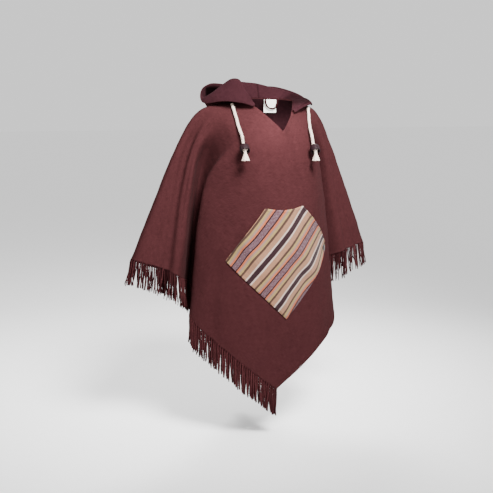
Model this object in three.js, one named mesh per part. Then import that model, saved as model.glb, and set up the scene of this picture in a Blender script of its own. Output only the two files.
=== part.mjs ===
// A hooded poncho as it hangs on a wearer: two square panels hung by one corner, joined over the
// shoulders and arms, with a V neck, a hood thrown back, a striped pocket and a fringed hem.
// Millimetres, +Z up. The origin is in the middle of the neck opening, at the height of the nape.
// The wearer faces -Y, and the wearer's left is +X.
import * as THREE from 'three';
import { mergeVertices } from 'three/addons/utils/BufferGeometryUtils.js';

// Cloth and cut
const WALL = 2;
const SEAM_GAP = 0.3;

// Neck opening
const V_BOTTOM = new THREE.Vector3(0, -105, -99);
const NECK_HALF_WIDTH = 100;
const NECK_SIDE_Y = 8;
const NECK_SIDE_Z = -8;
const NAPE_Y = 50;
const LEFT_NECK_SAG = { out: 10, down: 20 };

// Shares of the way from the neck to the hem at which the folds below are placed.
const LEVELS = [0, 0.18, 0.42, 1];

// Fold lines of one half, from the middle of the front round the arm to the middle of the back.
// cut: angle from the front's middle line on the flat cloth, in degrees. out is away from the middle.
const FOLDS = [
  { at: 'front middle', cut: 0, shoulder: [0, -133, -235], chest: [0, -143, -425], hem: [0, -100, -893] },
  { at: 'front half', cut: 7.2, shoulder: [70, -116, -190], chest: [118, -106, -355], hem: [150, -80, -780] },
  { at: 'front ridge', cut: 16.3, shoulder: [120, -80, -130], chest: [203, -8, -260], hem: [248, 20, -666] },
  { at: 'ridge flank', cut: 20.5, shoulder: [138, -50, -106], chest: [178, 30, -235], hem: [198, 80, -615] },
  { at: 'front recess', cut: 25.5, shoulder: [154, -18, -82], chest: [190, 62, -212], hem: [205, 132, -578] },
  { at: 'arm front', cut: 33.9, shoulder: [172, 5, -60], chest: [232, 18, -185], hem: [287, 15, -532] },
  { at: 'arm valley', cut: 38.4, shoulder: [189, 20, -48], chest: [252, 38, -166], hem: [336, 32, -505] },
  { at: 'arm seam', cut: 45, shoulder: [206, 42, -41], chest: [277, 52, -158], hem: [412, 68, -480] },
  { at: 'arm back', cut: 50, shoulder: [200, 64, -43], chest: [270, 88, -164], hem: [386, 134, -494] },
  { at: 'back valley', cut: 56, shoulder: [184, 84, -48], chest: [238, 104, -184], hem: [318, 104, -520] },
  { at: 'back arm fold', cut: 62, shoulder: [160, 100, -56], chest: [214, 138, -212], hem: [256, 170, -545] },
  { at: 'back recess', cut: 69, shoulder: [126, 114, -72], chest: [168, 142, -245], hem: [196, 142, -570] },
  { at: 'back ridge', cut: 77, shoulder: [84, 124, -92], chest: [118, 176, -290], hem: [142, 206, -640] },
  { at: 'back middle', cut: 90, shoulder: [0, 134, -122], chest: [0, 184, -340], hem: [0, 222, -852] },
];
// Where the hem of the left half differs from the right half's, by fold number, as out, front to back, up.
const LEFT_HEM = {
  1: [0, 0, -6],
  2: [28, 0, -46],
  3: [12, 0, -6],
  4: [0, 0, 20],
  5: [0, 0, 30],
  6: [0, 0, 12],
  7: [8, 0, 0],
};
const SEAM_FOLD = 7;
const LAST_FOLD = FOLDS.length - 1;
const RING = 2 * LAST_FOLD;
// The lower tips of the front and the back hang a little off the middle.
const TIP_SHIFT = { 0: -14, [LAST_FOLD]: 18 };

// Hood halves, a row for each section from the V edge round to the middle of the back.
// cut: where the section leaves the neck. It rises to the roll, turns over and ends at the face edge;
// bag is how far the cloth between them sags back and down.
const HOOD_RIGHT = [
  { cut: 24.6, roll: [-60, -40, -20], edge: [-66, -44, -26], bag: [0, 0] },
  { cut: 33, roll: [-76, -20, 16], edge: [-104, -38, -15], bag: [0, -6] },
  { cut: 43, roll: [-89, 4, 53], edge: [-148, -8, -10], bag: [0, -10] },
  { cut: 53, roll: [-94, 31, 52], edge: [-187, 48, -15], bag: [0, -12] },
  { cut: 64, roll: [-80, 51, 52], edge: [-176, 94, 20], bag: [12, 40] },
  { cut: 77, roll: [-44, 61, 54], edge: [-116, 138, 46], bag: [48, 125] },
  { cut: 90, roll: [0, 64, 52], edge: [0, 165, 38], bag: [72, 190] },
];
const HOOD_LEFT = [
  { cut: 24.6, roll: [76, -38, -37], edge: [80, -42, -43], bag: [0, 0] },
  { cut: 33, roll: [106, -26, -21], edge: [115, -28, -29], bag: [0, -1] },
  { cut: 43, roll: [148, -2, -8], edge: [160, -2, -18], bag: [0, -2] },
  { cut: 53, roll: [150, 28, 2], edge: [188, 44, -20], bag: [0, -4] },
  { cut: 65, roll: [116, 51, 21], edge: [182, 98, 12], bag: [12, 28] },
  { cut: 78, roll: [56, 61, 38], edge: [112, 140, 38], bag: [48, 112] },
  { cut: 90, roll: [0, 64, 52], edge: [0, 165, 38], bag: [72, 190] },
];
const HOOD_LIFT = 0.8;
const BAG_SQUARENESS = 4;

// Pocket: a square on its point with its top corner cut off, as widths along the cloth from the
// front's middle (left is +) and heights. The edges from side to top are the hand openings.
const POCKET = {
  right: [-190, -481],
  rightTop: [-75, -324],
  leftTop: [51, -321],
  left: [205, -470],
  bottom: [11, -666],
};
const POCKET_TOP_SAG = 8;
const POCKET_OPENING = 6;
const POCKET_GAP = 1;
const POCKET_WALL = 1.6;
const POCKET_COLUMNS = 20;
const POCKET_ROWS = 6;
// Shares of the pocket's width at which its top edge turns from an opening to the cut corner and back.
const TOP_TURNS = [0, 0.35, 0.65, 1];

// Fringe: warp ends left below a narrow edge strip, one strand to each pitch.
const FRINGE_PITCH = 10;
const FRINGE_LENGTH = { panel: 86, arm: 74 };
const FRINGE_UNEVEN = 7;
const FRINGE_INSET = 0.02;
const ARM_FROM = 4;
const STRAND_SHARE = 0.5;
const STRAND_WIDTH = 4.6;
const STRIP_DEPTH = 6;
const HEM_GAP = 0.8;
// Steps in which a hem's length is measured to space the strands.
const HEM_STEPS = 400;

// Drawcords: where each runs from under the hood's edge down the chest to its bead.
const CORD_RADIUS = 4.5;
const CORD_RIGHT = [
  [-119, -6, -18], [-120, -13, -26], [-121, -21, -35], [-122, -32, -49], [-123, -44, -64],
  [-125, -56, -79], [-126, -68, -93], [-127, -85, -111], [-128, -98, -138],
];
const CORD_LEFT = [
  [154, 2, -29], [152, -2, -35], [148, -9, -42], [142, -21, -54], [135, -34, -66],
  [124, -55, -81], [113, -77, -95], [106, -98, -114], [104, -113, -143],
];
const CORD_SIDES = 10;
const CORD_STEPS = 12;
const CORD_IN_BEAD = 6.6;

// Bells on the cords, as radius and distance below the bell's top; its mouth tips forward.
const BEAD_AXIS = new THREE.Vector3(-0.18, -0.72, -0.67).normalize();
const BEAD_PROFILE = [
  [4.8, 0], [9, 0.4], [12.8, 4], [14.5, 12], [14.5, 24.5],
  [13.3, 26], [11.5, 25], [11, 13], [8, 7.5], [4.8, 6],
];
const BEAD_SIDES = 14;
// The cord's knotted and frayed end: along the bell's axis, then how far it drops, and the radius.
const KNOT = [
  [7.4, 0, 4], [11, 0, 8.4], [16, 0, 9.6], [21, 0, 7.8],
  [24, 1, 5.2], [27, 5, 5.6], [29, 13, 9], [30, 24, 12.5],
];
const KNOT_SIDES = 12;

const LABEL = { width: 40, height: 40, thickness: 1, x: 39, y: 43, z: -24, turn: -10 };
const LOOP_RADIUS = 1.8;
const LOOP_SIDES = 8;
const LOOP_STEPS = 12;
const LOOP = [
  [22, 40, -2.5], [24, 39, -14], [31, 38, -25], [42, 37, -30], [54, 36, -26], [60, 36, -14], [62, 37, -4],
];
const TAG = { across: 186, height: -464, width: 12, length: 15, thickness: 1.2, lift: 4.6, cells: 2 };

const CLOTH = new THREE.Color(0.13, 0.045, 0.048);
const STRIPES = new THREE.Color(0.52, 0.38, 0.27);
const COTTON_CORD = new THREE.Color(0.86, 0.72, 0.6);
const DARK_WOOD = new THREE.Color(0.06, 0.02, 0.02);
const WHITE_TAPE = new THREE.Color(0.8, 0.78, 0.74);
const BLACK_TAPE = new THREE.Color(0.02, 0.02, 0.02);

function material(color, roughness = 0.95) {
  return new THREE.MeshStandardMaterial({ color, roughness, metalness: 0 });
}

const degrees = THREE.MathUtils.degToRad;

// ---- the neckline and the draped body ----

// Height along the V edge: 0 at its bottom, 1 at the side of the neck.
function vShare(cut) {
  return 1 - Math.tan(degrees(45 - cut));
}

function neckPoint(side, cut) {
  if (cut <= 45) {
    const f = vShare(cut);
    const sag = side > 0 ? Math.sin(Math.PI * f) : 0;
    const rise = Math.sin(f * Math.PI / 2);
    return new THREE.Vector3(
      side * (NECK_HALF_WIDTH * f + LEFT_NECK_SAG.out * sag),
      V_BOTTOM.y + (NECK_SIDE_Y - V_BOTTOM.y) * f,
      V_BOTTOM.z + (NECK_SIDE_Z - V_BOTTOM.z) * rise - LEFT_NECK_SAG.down * sag,
    );
  }
  const turn = degrees((cut - 45) * 2);
  return new THREE.Vector3(
    side * NECK_HALF_WIDTH * Math.cos(turn),
    NECK_SIDE_Y + (NAPE_Y - NECK_SIDE_Y) * Math.sin(turn),
    NECK_SIDE_Z * (1 - Math.sin(turn)),
  );
}

// A smooth curve through points at the given knots. At a corner the height turns sharply.
function through(knots, points, at, isCorner = () => false) {
  let i = 0;
  while (i < knots.length - 2 && at > knots[i + 1]) i += 1;
  const slope = (a, b) => points[b].clone().sub(points[a]).divideScalar(knots[b] - knots[a]);
  const tangent = (n) => {
    const smooth = slope(Math.max(n - 1, 0), Math.min(n + 1, knots.length - 1));
    if (isCorner(knots[n])) smooth.z = slope(i, i + 1).z;
    return smooth;
  };
  const span = knots[i + 1] - knots[i];
  const s = (at - knots[i]) / span;
  const s2 = s * s;
  const s3 = s2 * s;
  return points[i].clone().multiplyScalar(2 * s3 - 3 * s2 + 1)
    .addScaledVector(tangent(i), (s3 - 2 * s2 + s) * span)
    .addScaledVector(points[i + 1], 3 * s2 - 2 * s3)
    .addScaledVector(tangent(i + 1), (s3 - s2) * span);
}

// One fold line: its points at the neck, shoulder, chest and hem.
function foldPoints(place) {
  const onRight = place <= LAST_FOLD;
  const row = FOLDS[onRight ? place : RING - place];
  const side = onRight ? -1 : 1;
  const points = ['shoulder', 'chest', 'hem'].map((level) => new THREE.Vector3(...row[level]));
  if (!onRight) points[2].add(new THREE.Vector3(...LEFT_HEM[RING - place] ?? [0, 0, 0]));
  points.forEach((point) => { point.x *= side; });
  points[2].x += TIP_SHIFT[place] ?? 0;
  return [neckPoint(side, row.cut), ...points];
}

const RING_FOLDS = Array.from({ length: RING }, (_, place) => foldPoints(place));
const isMiddle = (place) => place % LAST_FOLD === 0;

// A point of the cloth. place runs round the wearer from the front's middle over the right arm,
// one unit a fold, and down runs from 0 at the neck to 1 at the hem.
function cloth(place, down) {
  const base = Math.floor(place);
  const knots = [base - 1, base, base + 1, base + 2];
  const points = knots.map((k) => through(LEVELS, RING_FOLDS[(k + RING) % RING], down));
  return through(knots, points, place, isMiddle);
}

function clothNormal(place, down) {
  const step = 1e-3;
  const round = cloth(place + step, down).sub(cloth(place - step, down));
  const d0 = Math.max(down - step, 0);
  const d1 = Math.min(down + step, 1);
  const fall = cloth(place, d1).sub(cloth(place, d0));
  return round.cross(fall).normalize();
}

// ---- walls ----

// A closed wall on a grid of points: sheet(i, j) gives a point and the way out of the cloth there.
function wallGeometry(columns, rows, sheet, inner, outer) {
  const positions = [];
  const spots = [];
  for (let i = 0; i <= columns; i += 1) {
    for (let j = 0; j <= rows; j += 1) spots.push(sheet(i, j));
  }
  for (const height of [outer, inner]) {
    for (const { point, out } of spots) {
      const p = point.clone().addScaledVector(out, height);
      positions.push(p.x, p.y, p.z);
    }
  }
  const at = (i, j, layer) => layer * spots.length + i * (rows + 1) + j;
  const index = [];
  const quad = (a, b, c, d) => index.push(a, b, c, a, c, d);
  for (let i = 0; i < columns; i += 1) {
    for (let j = 0; j < rows; j += 1) {
      quad(at(i, j, 0), at(i + 1, j, 0), at(i + 1, j + 1, 0), at(i, j + 1, 0));
      quad(at(i, j, 1), at(i, j + 1, 1), at(i + 1, j + 1, 1), at(i + 1, j, 1));
    }
    quad(at(i, 0, 0), at(i, 0, 1), at(i + 1, 0, 1), at(i + 1, 0, 0));
    quad(at(i, rows, 1), at(i, rows, 0), at(i + 1, rows, 0), at(i + 1, rows, 1));
  }
  for (let j = 0; j < rows; j += 1) {
    quad(at(0, j, 1), at(0, j, 0), at(0, j + 1, 0), at(0, j + 1, 1));
    quad(at(columns, j, 1), at(columns, j + 1, 1), at(columns, j + 1, 0), at(columns, j, 0));
  }
  const geometry = new THREE.BufferGeometry();
  geometry.setAttribute('position', new THREE.Float32BufferAttribute(positions, 3));
  geometry.setIndex(index);
  return facingOut(geometry);
}

// Corners that share a place become one, flat triangles go, and the faces point out.
function facingOut(source) {
  const geometry = mergeVertices(source, 1e-4);
  const p = geometry.attributes.position;
  const corners = [0, 1, 2].map(() => new THREE.Vector3());
  const kept = [];
  let volume = 0;
  for (let n = 0; n < geometry.index.count; n += 3) {
    const ids = [0, 1, 2].map((m) => geometry.index.getX(n + m));
    if (new Set(ids).size < 3) continue;
    kept.push(ids);
    ids.forEach((id, m) => corners[m].fromBufferAttribute(p, id));
    volume += corners[0].dot(corners[1].clone().cross(corners[2]));
  }
  geometry.setIndex(kept.flatMap(([a, b, c]) => (volume > 0 ? [a, b, c] : [a, c, b])));
  return geometry;
}

function mesh(name, geometry, look) {
  const piece = new THREE.Mesh(geometry, look);
  piece.name = name;
  return piece;
}

// Places round the ring, with more columns to a fold where the cloth turns tighter.
const COLUMNS_PER_FOLD = [5, 5, 4, 3, 4, 3, 3, 3, 3, 3, 4, 4, 5];
const BODY_ROWS = 11;

function columnsBetween(from, to) {
  const places = [];
  for (let k = from; k < to; k += 1) {
    const turn = (k + RING) % RING;
    const count = COLUMNS_PER_FOLD[Math.min(turn, RING - 1 - turn)];
    for (let n = 0; n < count; n += 1) places.push(k + n / count);
  }
  return [...places, to];
}

// A body panel. Its side edges stand back from the seam by half the gap.
function panel(name, from, to) {
  const places = columnsBetween(from, to);
  const last = places.length - 1;
  const sheet = (i, j) => {
    const down = j / BODY_ROWS;
    const point = cloth(places[i], down);
    if (i === 0 || i === last) {
      const across = cloth(places[i] + 1e-3, down).sub(cloth(places[i] - 1e-3, down)).normalize();
      point.addScaledVector(across, (i === 0 ? 1 : -1) * SEAM_GAP / 2);
    }
    return { point, out: clothNormal(places[i], down) };
  };
  return mesh(name, wallGeometry(last, BODY_ROWS, sheet, -WALL, 0), material(CLOTH));
}

// ---- hood ----

const HOOD_COLUMNS = 16;
const STAND_ROWS = 2;
const BAG_ROWS = 9;

// A point of a hood half: round runs from the V edge (0) to the middle of the back (1), and over
// from the neck (0) to the roll (STAND_ROWS) and on to the face edge.
function hoodPoint(rows, side, round, over) {
  const knots = rows.map((_, n) => n);
  const at = round * (rows.length - 1);
  const field = (pick) => through(knots, rows.map((row) => new THREE.Vector3(...pick(row))), at);
  const cut = Math.min(field((row) => [row.cut, 0, 0]).x, 90);
  const seam = neckPoint(side, cut);
  seam.z += HOOD_LIFT;
  const roll = field((row) => row.roll);
  if (over <= STAND_ROWS) return seam.lerp(roll, over / STAND_ROWS);
  const w = (over - STAND_ROWS) / BAG_ROWS;
  const deep = 1 - Math.abs(2 * w - 1) ** BAG_SQUARENESS;
  const bag = field((row) => [0, row.bag[0], -row.bag[1]]);
  return roll.lerp(field((row) => row.edge), w).addScaledVector(bag, deep);
}

// The two halves meet in the plane of the middle seam.
function hoodHalf(name, rows, side) {
  const step = 0.02;
  const lastRow = STAND_ROWS + BAG_ROWS;
  const { clamp } = THREE.MathUtils;
  const at = (round, over) => hoodPoint(rows, side, clamp(round, 0, 1), clamp(over, 0, lastRow));
  const sheet = (i, j) => {
    const round = i / HOOD_COLUMNS;
    const along = at(round + step, j).sub(at(round - step, j));
    const over = at(round, j + step).sub(at(round, j - step));
    const point = at(round, j);
    const out = along.cross(over).multiplyScalar(side);
    if (i === HOOD_COLUMNS) {
      point.x = side * SEAM_GAP / 2;
      out.x = 0;
    }
    return { point, out: out.normalize() };
  };
  return mesh(name, wallGeometry(HOOD_COLUMNS, lastRow, sheet, -WALL, 0), material(CLOTH));
}

// ---- pocket ----

function downAt(place, height) {
  let high = 0;
  let low = 1;
  for (let n = 0; n < 18; n += 1) {
    const middle = (high + low) / 2;
    if (cloth(place, middle).z > height) high = middle;
    else low = middle;
  }
  return (high + low) / 2;
}

// The place on the front that lies so far along the cloth from the middle, at a height.
function frontSpot([across, height]) {
  const step = across < 0 ? 0.1 : -0.1;
  let place = 0;
  let here = cloth(0, downAt(0, height));
  let left = Math.abs(across);
  for (;;) {
    const next = cloth(place + step, downAt(place + step, height));
    const stride = next.distanceTo(here);
    if (stride >= left) {
      place += step * left / stride;
      return { place, down: downAt(place, height) };
    }
    left -= stride;
    place += step;
    here = next;
  }
}

const mix = (a, b, t) => [a[0] + (b[0] - a[0]) * t, a[1] + (b[1] - a[1]) * t];

// The pocket's spot at share s of its width and v of its height, and how far it stands open there.
function pocketSpot(s, v) {
  const { right, rightTop, leftTop, left, bottom } = POCKET;
  const low = s < 0.5 ? mix(right, bottom, s * 2) : mix(bottom, left, s * 2 - 1);
  const corners = [right, rightTop, leftTop, left];
  const n = s < TOP_TURNS[1] ? 0 : s < TOP_TURNS[2] ? 1 : 2;
  const t = (s - TOP_TURNS[n]) / (TOP_TURNS[n + 1] - TOP_TURNS[n]);
  const high = mix(corners[n], corners[n + 1], t);
  const arch = Math.sin(Math.PI * t);
  if (n === 1) high[1] -= POCKET_TOP_SAG * arch;
  const open = n === 1 ? 0 : POCKET_OPENING * arch * v * v;
  return { ...frontSpot(mix(low, high, v)), open };
}

function pocket() {
  const sheet = (i, j) => {
    const { place, down, open } = pocketSpot(i / POCKET_COLUMNS, j / POCKET_ROWS);
    const out = clothNormal(place, down);
    return { point: cloth(place, down).addScaledVector(out, open), out };
  };
  const wall = wallGeometry(POCKET_COLUMNS, POCKET_ROWS, sheet, POCKET_GAP, POCKET_GAP + POCKET_WALL);
  return mesh('pocket', wall, material(STRIPES));
}

// The tag lies on the pocket, just inside its left corner.
function pocketTag() {
  const cells = TAG.cells;
  const sheet = (i, j) => {
    const across = TAG.across + TAG.width * (i / cells - 0.5);
    const height = TAG.height - TAG.length * (j / cells - 0.5);
    const { place, down } = frontSpot([across, height]);
    return { point: cloth(place, down), out: clothNormal(place, down) };
  };
  const wall = wallGeometry(cells, cells, sheet, TAG.lift, TAG.lift + TAG.thickness);
  return mesh('pocket_tag', wall, material(BLACK_TAPE));
}

// ---- fringe ----

// Places at equal steps along the hem.
function hemPlaces(from, to, pitch) {
  const fine = HEM_STEPS;
  const lengths = [0];
  let here = cloth(from, 1);
  for (let n = 1; n <= fine; n += 1) {
    const next = cloth(from + (to - from) * n / fine, 1);
    lengths.push(lengths[n - 1] + next.distanceTo(here));
    here = next;
  }
  const count = Math.floor(lengths[fine] / pitch);
  return Array.from({ length: count + 1 }, (_, n) => {
    const goal = lengths[fine] * n / count;
    const after = Math.max(lengths.findIndex((length) => length >= goal), 1);
    const share = (goal - lengths[after - 1]) / (lengths[after] - lengths[after - 1]);
    return from + (to - from) * (after - 1 + share) / fine;
  });
}

const ALL_COLUMNS = columnsBetween(-SEAM_FOLD, RING - SEAM_FOLD);

// The hem as the panels' straight facets have it: its edge, the way down the cloth and the way out.
function hemFacet(place) {
  const after = Math.max(ALL_COLUMNS.findIndex((column) => column >= place), 1);
  const [a, b] = [ALL_COLUMNS[after - 1], ALL_COLUMNS[after]];
  const share = (place - a) / (b - a);
  const ends = [a, b].map((column) => {
    const hem = cloth(column, 1);
    const fall = hem.clone().sub(cloth(column, 0.99)).normalize();
    return { hem, fall, out: clothNormal(column, 1) };
  });
  const between = (key) => ends[0][key].clone().lerp(ends[1][key], share);
  return { hem: between('hem'), fall: between('fall').normalize(), out: between('out') };
}

// How far a strand hangs: shorter over the arms, and a little uneven.
function strandLength(place, n) {
  const fromMiddle = Math.abs(place) % LAST_FOLD;
  const onArm = Math.abs(fromMiddle - SEAM_FOLD) < SEAM_FOLD - ARM_FROM;
  return (onArm ? FRINGE_LENGTH.arm : FRINGE_LENGTH.panel) + FRINGE_UNEVEN * Math.sin(n * 2.4);
}

// The strip under a hem with its strands: four-sided, fused at the root, hanging straight down.
function fringe(name, from, to) {
  const corners = [];
  const index = [];
  const quad = (a, b, c, d) => index.push(a, b, c, a, c, d);
  const edges = hemPlaces(from, to, FRINGE_PITCH).flatMap((place, n, all) => {
    if (n === all.length - 1) return [place];
    return [place, place + (all[n + 1] - place) * STRAND_SHARE];
  });
  const PER_EDGE = 4;
  for (const place of edges) {
    const { hem, fall, out } = hemFacet(place);
    for (const depth of [HEM_GAP, HEM_GAP + STRIP_DEPTH]) {
      const outer = hem.clone().addScaledVector(fall, depth);
      corners.push(outer, outer.clone().addScaledVector(out, -WALL));
    }
  }
  const spans = edges.length - 1;
  for (let i = 0; i < spans; i += 1) {
    const [topOut, topIn, lowOut, lowIn] = [0, 1, 2, 3].map((c) => i * PER_EDGE + c);
    const [nextTopOut, nextTopIn, nextLowOut, nextLowIn] = [4, 5, 6, 7].map((c) => i * PER_EDGE + c);
    quad(topOut, nextTopOut, nextLowOut, lowOut);
    quad(topIn, lowIn, nextLowIn, nextTopIn);
    quad(topOut, topIn, nextTopIn, nextTopOut);
    const root = [lowOut, nextLowOut, nextLowIn, lowIn];
    if (i % 2 === 1) {
      quad(...root);
      continue;
    }
    const length = strandLength((edges[i] + edges[i + 1]) / 2, i);
    const middle = root.reduce((sum, c) => sum.add(corners[c]), new THREE.Vector3()).divideScalar(4);
    const end = root.map((c) => {
      const arm = corners[c].clone().sub(middle).setZ(0);
      return arm.setLength(STRAND_WIDTH / 2).add(middle).setZ(middle.z - length);
    });
    const first = corners.length;
    corners.push(...end);
    for (let c = 0; c < 4; c += 1) {
      const d = (c + 1) % 4;
      quad(root[c], root[d], first + d, first + c);
    }
    quad(first, first + 1, first + 2, first + 3);
  }
  quad(0, 2, 3, 1);
  const end = spans * PER_EDGE;
  quad(end, end + 1, end + 3, end + 2);
  const geometry = new THREE.BufferGeometry().setFromPoints(corners);
  geometry.setIndex(index);
  return mesh(name, facingOut(geometry), material(CLOTH));
}

// ---- drawcords ----

const vector = (p) => new THREE.Vector3(...p);

function tube(points, radius, sides, steps) {
  const section = new THREE.Shape();
  for (let n = 0; n < sides; n += 1) {
    const turn = 2 * Math.PI * n / sides;
    if (n === 0) section.moveTo(radius, 0);
    else section.lineTo(radius * Math.cos(turn), radius * Math.sin(turn));
  }
  section.closePath();
  const path = new THREE.CatmullRomCurve3(points);
  return new THREE.ExtrudeGeometry(section, { steps, extrudePath: path, bevelEnabled: false });
}

// A closed skin over rings of points, with a cap at either end.
function ringed(name, rings, look) {
  const sides = rings[0].length;
  const index = [];
  for (let i = 1; i < rings.length; i += 1) {
    for (let n = 0; n < sides; n += 1) {
      const [a, b] = [(i - 1) * sides + n, (i - 1) * sides + (n + 1) % sides];
      index.push(a, b, b + sides, a, b + sides, a + sides);
    }
  }
  const last = (rings.length - 1) * sides;
  for (let n = 2; n < sides; n += 1) {
    index.push(0, n, n - 1);
    index.push(last, last + n - 1, last + n);
  }
  const geometry = new THREE.BufferGeometry().setFromPoints(rings.flat());
  geometry.setIndex(index);
  return mesh(name, facingOut(geometry), look);
}

// A bell turned round the axis.
function bell(name, top) {
  const points = [...BEAD_PROFILE, BEAD_PROFILE[0]].map(([r, y]) => new THREE.Vector2(r, -y));
  const geometry = facingOut(stripped(new THREE.LatheGeometry(points, BEAD_SIDES)));
  const piece = mesh(name, geometry, material(DARK_WOOD, 0.45));
  piece.position.copy(top);
  piece.quaternion.setFromUnitVectors(new THREE.Vector3(0, -1, 0), BEAD_AXIS);
  return piece;
}

function knot(name, top) {
  const centres = KNOT.map(([along, drop]) => {
    const centre = top.clone().addScaledVector(BEAD_AXIS, along);
    centre.z -= drop;
    return centre;
  });
  const rings = centres.map((centre, i) => {
    const before = centres[Math.max(i - 1, 0)];
    const after = centres[Math.min(i + 1, centres.length - 1)];
    const along = after.clone().sub(before).normalize();
    const front = along.clone().cross(new THREE.Vector3(1, 0, 0)).normalize();
    const across = front.clone().cross(along);
    return Array.from({ length: KNOT_SIDES }, (_, n) => {
      const turn = 2 * Math.PI * n / KNOT_SIDES;
      const reach = across.clone().multiplyScalar(Math.cos(turn)).addScaledVector(front, Math.sin(turn));
      return centre.clone().addScaledVector(reach, KNOT[i][2]);
    });
  });
  return ringed(name, rings, material(COTTON_CORD));
}

function stripped(geometry) {
  geometry.deleteAttribute('normal');
  geometry.deleteAttribute('uv');
  return geometry;
}

function drawcord(side, route) {
  const top = vector(route[route.length - 1]);
  const straight = [-2, -1, 0, 1].map((n) => top.clone().addScaledVector(BEAD_AXIS, n * CORD_IN_BEAD));
  const points = [...route.slice(0, -1).map(vector), ...straight];
  const skin = stripped(tube(points, CORD_RADIUS, CORD_SIDES, CORD_STEPS));
  const cord = mesh(`drawcord_${side}`, skin, material(COTTON_CORD));
  return [cord, bell(`bead_${side}`, top), knot(`cord_end_${side}`, top)];
}

// ---- nape ----

function neckLabel() {
  const { width, height, thickness, x, y, z, turn } = LABEL;
  const label = mesh('neck_label', new THREE.BoxGeometry(width, thickness, height), material(WHITE_TAPE));
  label.position.set(x, y, z);
  label.rotation.z = degrees(turn);
  return label;
}

function hangerLoop() {
  const cord = tube(LOOP.map(vector), LOOP_RADIUS, LOOP_SIDES, LOOP_STEPS);
  return mesh('hanger_loop', stripped(cord), material(CLOTH));
}

// ---- the whole garment ----

const poncho = new THREE.Group();
poncho.add(
  panel('front', -SEAM_FOLD, SEAM_FOLD),
  panel('back', SEAM_FOLD, RING - SEAM_FOLD),
  hoodHalf('hood_right', HOOD_RIGHT, -1),
  hoodHalf('hood_left', HOOD_LEFT, 1),
  pocket(),
  pocketTag(),
  fringe('fringe_front_right', 0, SEAM_FOLD - FRINGE_INSET),
  fringe('fringe_front_left', FRINGE_INSET - SEAM_FOLD, -4.3),
  fringe('fringe_back_left', LAST_FOLD, RING - SEAM_FOLD - FRINGE_INSET),
  fringe('fringe_back_right', SEAM_FOLD + FRINGE_INSET, 10.4),
  ...drawcord('right', CORD_RIGHT),
  ...drawcord('left', CORD_LEFT),
  neckLabel(),
  hangerLoop(),
);

export default poncho;
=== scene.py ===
import math

import bmesh
import bpy
import numpy as np
from bpy.props import FloatProperty, FloatVectorProperty, IntProperty, PointerProperty
from mathutils import Euler, Matrix, Vector


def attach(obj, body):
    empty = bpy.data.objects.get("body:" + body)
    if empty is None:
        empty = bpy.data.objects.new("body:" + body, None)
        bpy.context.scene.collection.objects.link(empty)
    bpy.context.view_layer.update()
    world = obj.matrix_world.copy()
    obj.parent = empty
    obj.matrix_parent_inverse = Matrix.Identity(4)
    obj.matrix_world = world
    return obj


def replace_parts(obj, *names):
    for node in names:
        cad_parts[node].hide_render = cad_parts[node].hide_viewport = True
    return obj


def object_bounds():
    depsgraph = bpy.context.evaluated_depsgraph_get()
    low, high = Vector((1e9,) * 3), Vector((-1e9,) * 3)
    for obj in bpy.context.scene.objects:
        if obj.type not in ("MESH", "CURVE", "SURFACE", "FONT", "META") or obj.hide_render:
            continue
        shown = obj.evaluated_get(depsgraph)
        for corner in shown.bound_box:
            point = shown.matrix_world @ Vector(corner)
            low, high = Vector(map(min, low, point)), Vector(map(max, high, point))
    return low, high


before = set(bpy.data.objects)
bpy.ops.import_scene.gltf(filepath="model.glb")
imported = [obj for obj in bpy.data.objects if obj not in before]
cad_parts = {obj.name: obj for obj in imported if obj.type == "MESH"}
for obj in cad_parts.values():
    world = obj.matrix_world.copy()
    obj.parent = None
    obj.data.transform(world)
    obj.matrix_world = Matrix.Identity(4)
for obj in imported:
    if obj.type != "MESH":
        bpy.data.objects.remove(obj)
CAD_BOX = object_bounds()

bl_info = {
    "name": "Fringed poncho",
    "version": (1, 0, 0),
    "blender": (4, 5, 0),
    "location": "View3D > Sidebar > Poncho",
    "description": "A hooded cotton poncho with a striped pocket and a fringed hem",
    "category": "Object",
}

# ---------------------------------------------------------------------------
# Cut and drape. Metres, +Z up; the wearer faces -Y and the wearer's left is +X.

PANEL_SIDE = 0.74
NECK_CUT = 0.16
V_BOTTOM = np.array([0, -0.105, -0.099])
NECK_HALF_WIDTH = 0.1
NECK_SIDE_Y = 0.008
NECK_SIDE_Z = -0.008
NAPE_Y = 0.05
LEFT_SAG_OUT = 0.01
LEFT_SAG_DOWN = 0.02

# Flat areas of the two squares less their neck cuts, in square metres.
PANEL_AREAS = {"front_panel": 0.522, "back_panel": 0.5275}

# Shares of the way from the neck to the hem at which the folds are placed.
LEVELS = np.array([0, 0.18, 0.42, 1])

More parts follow.
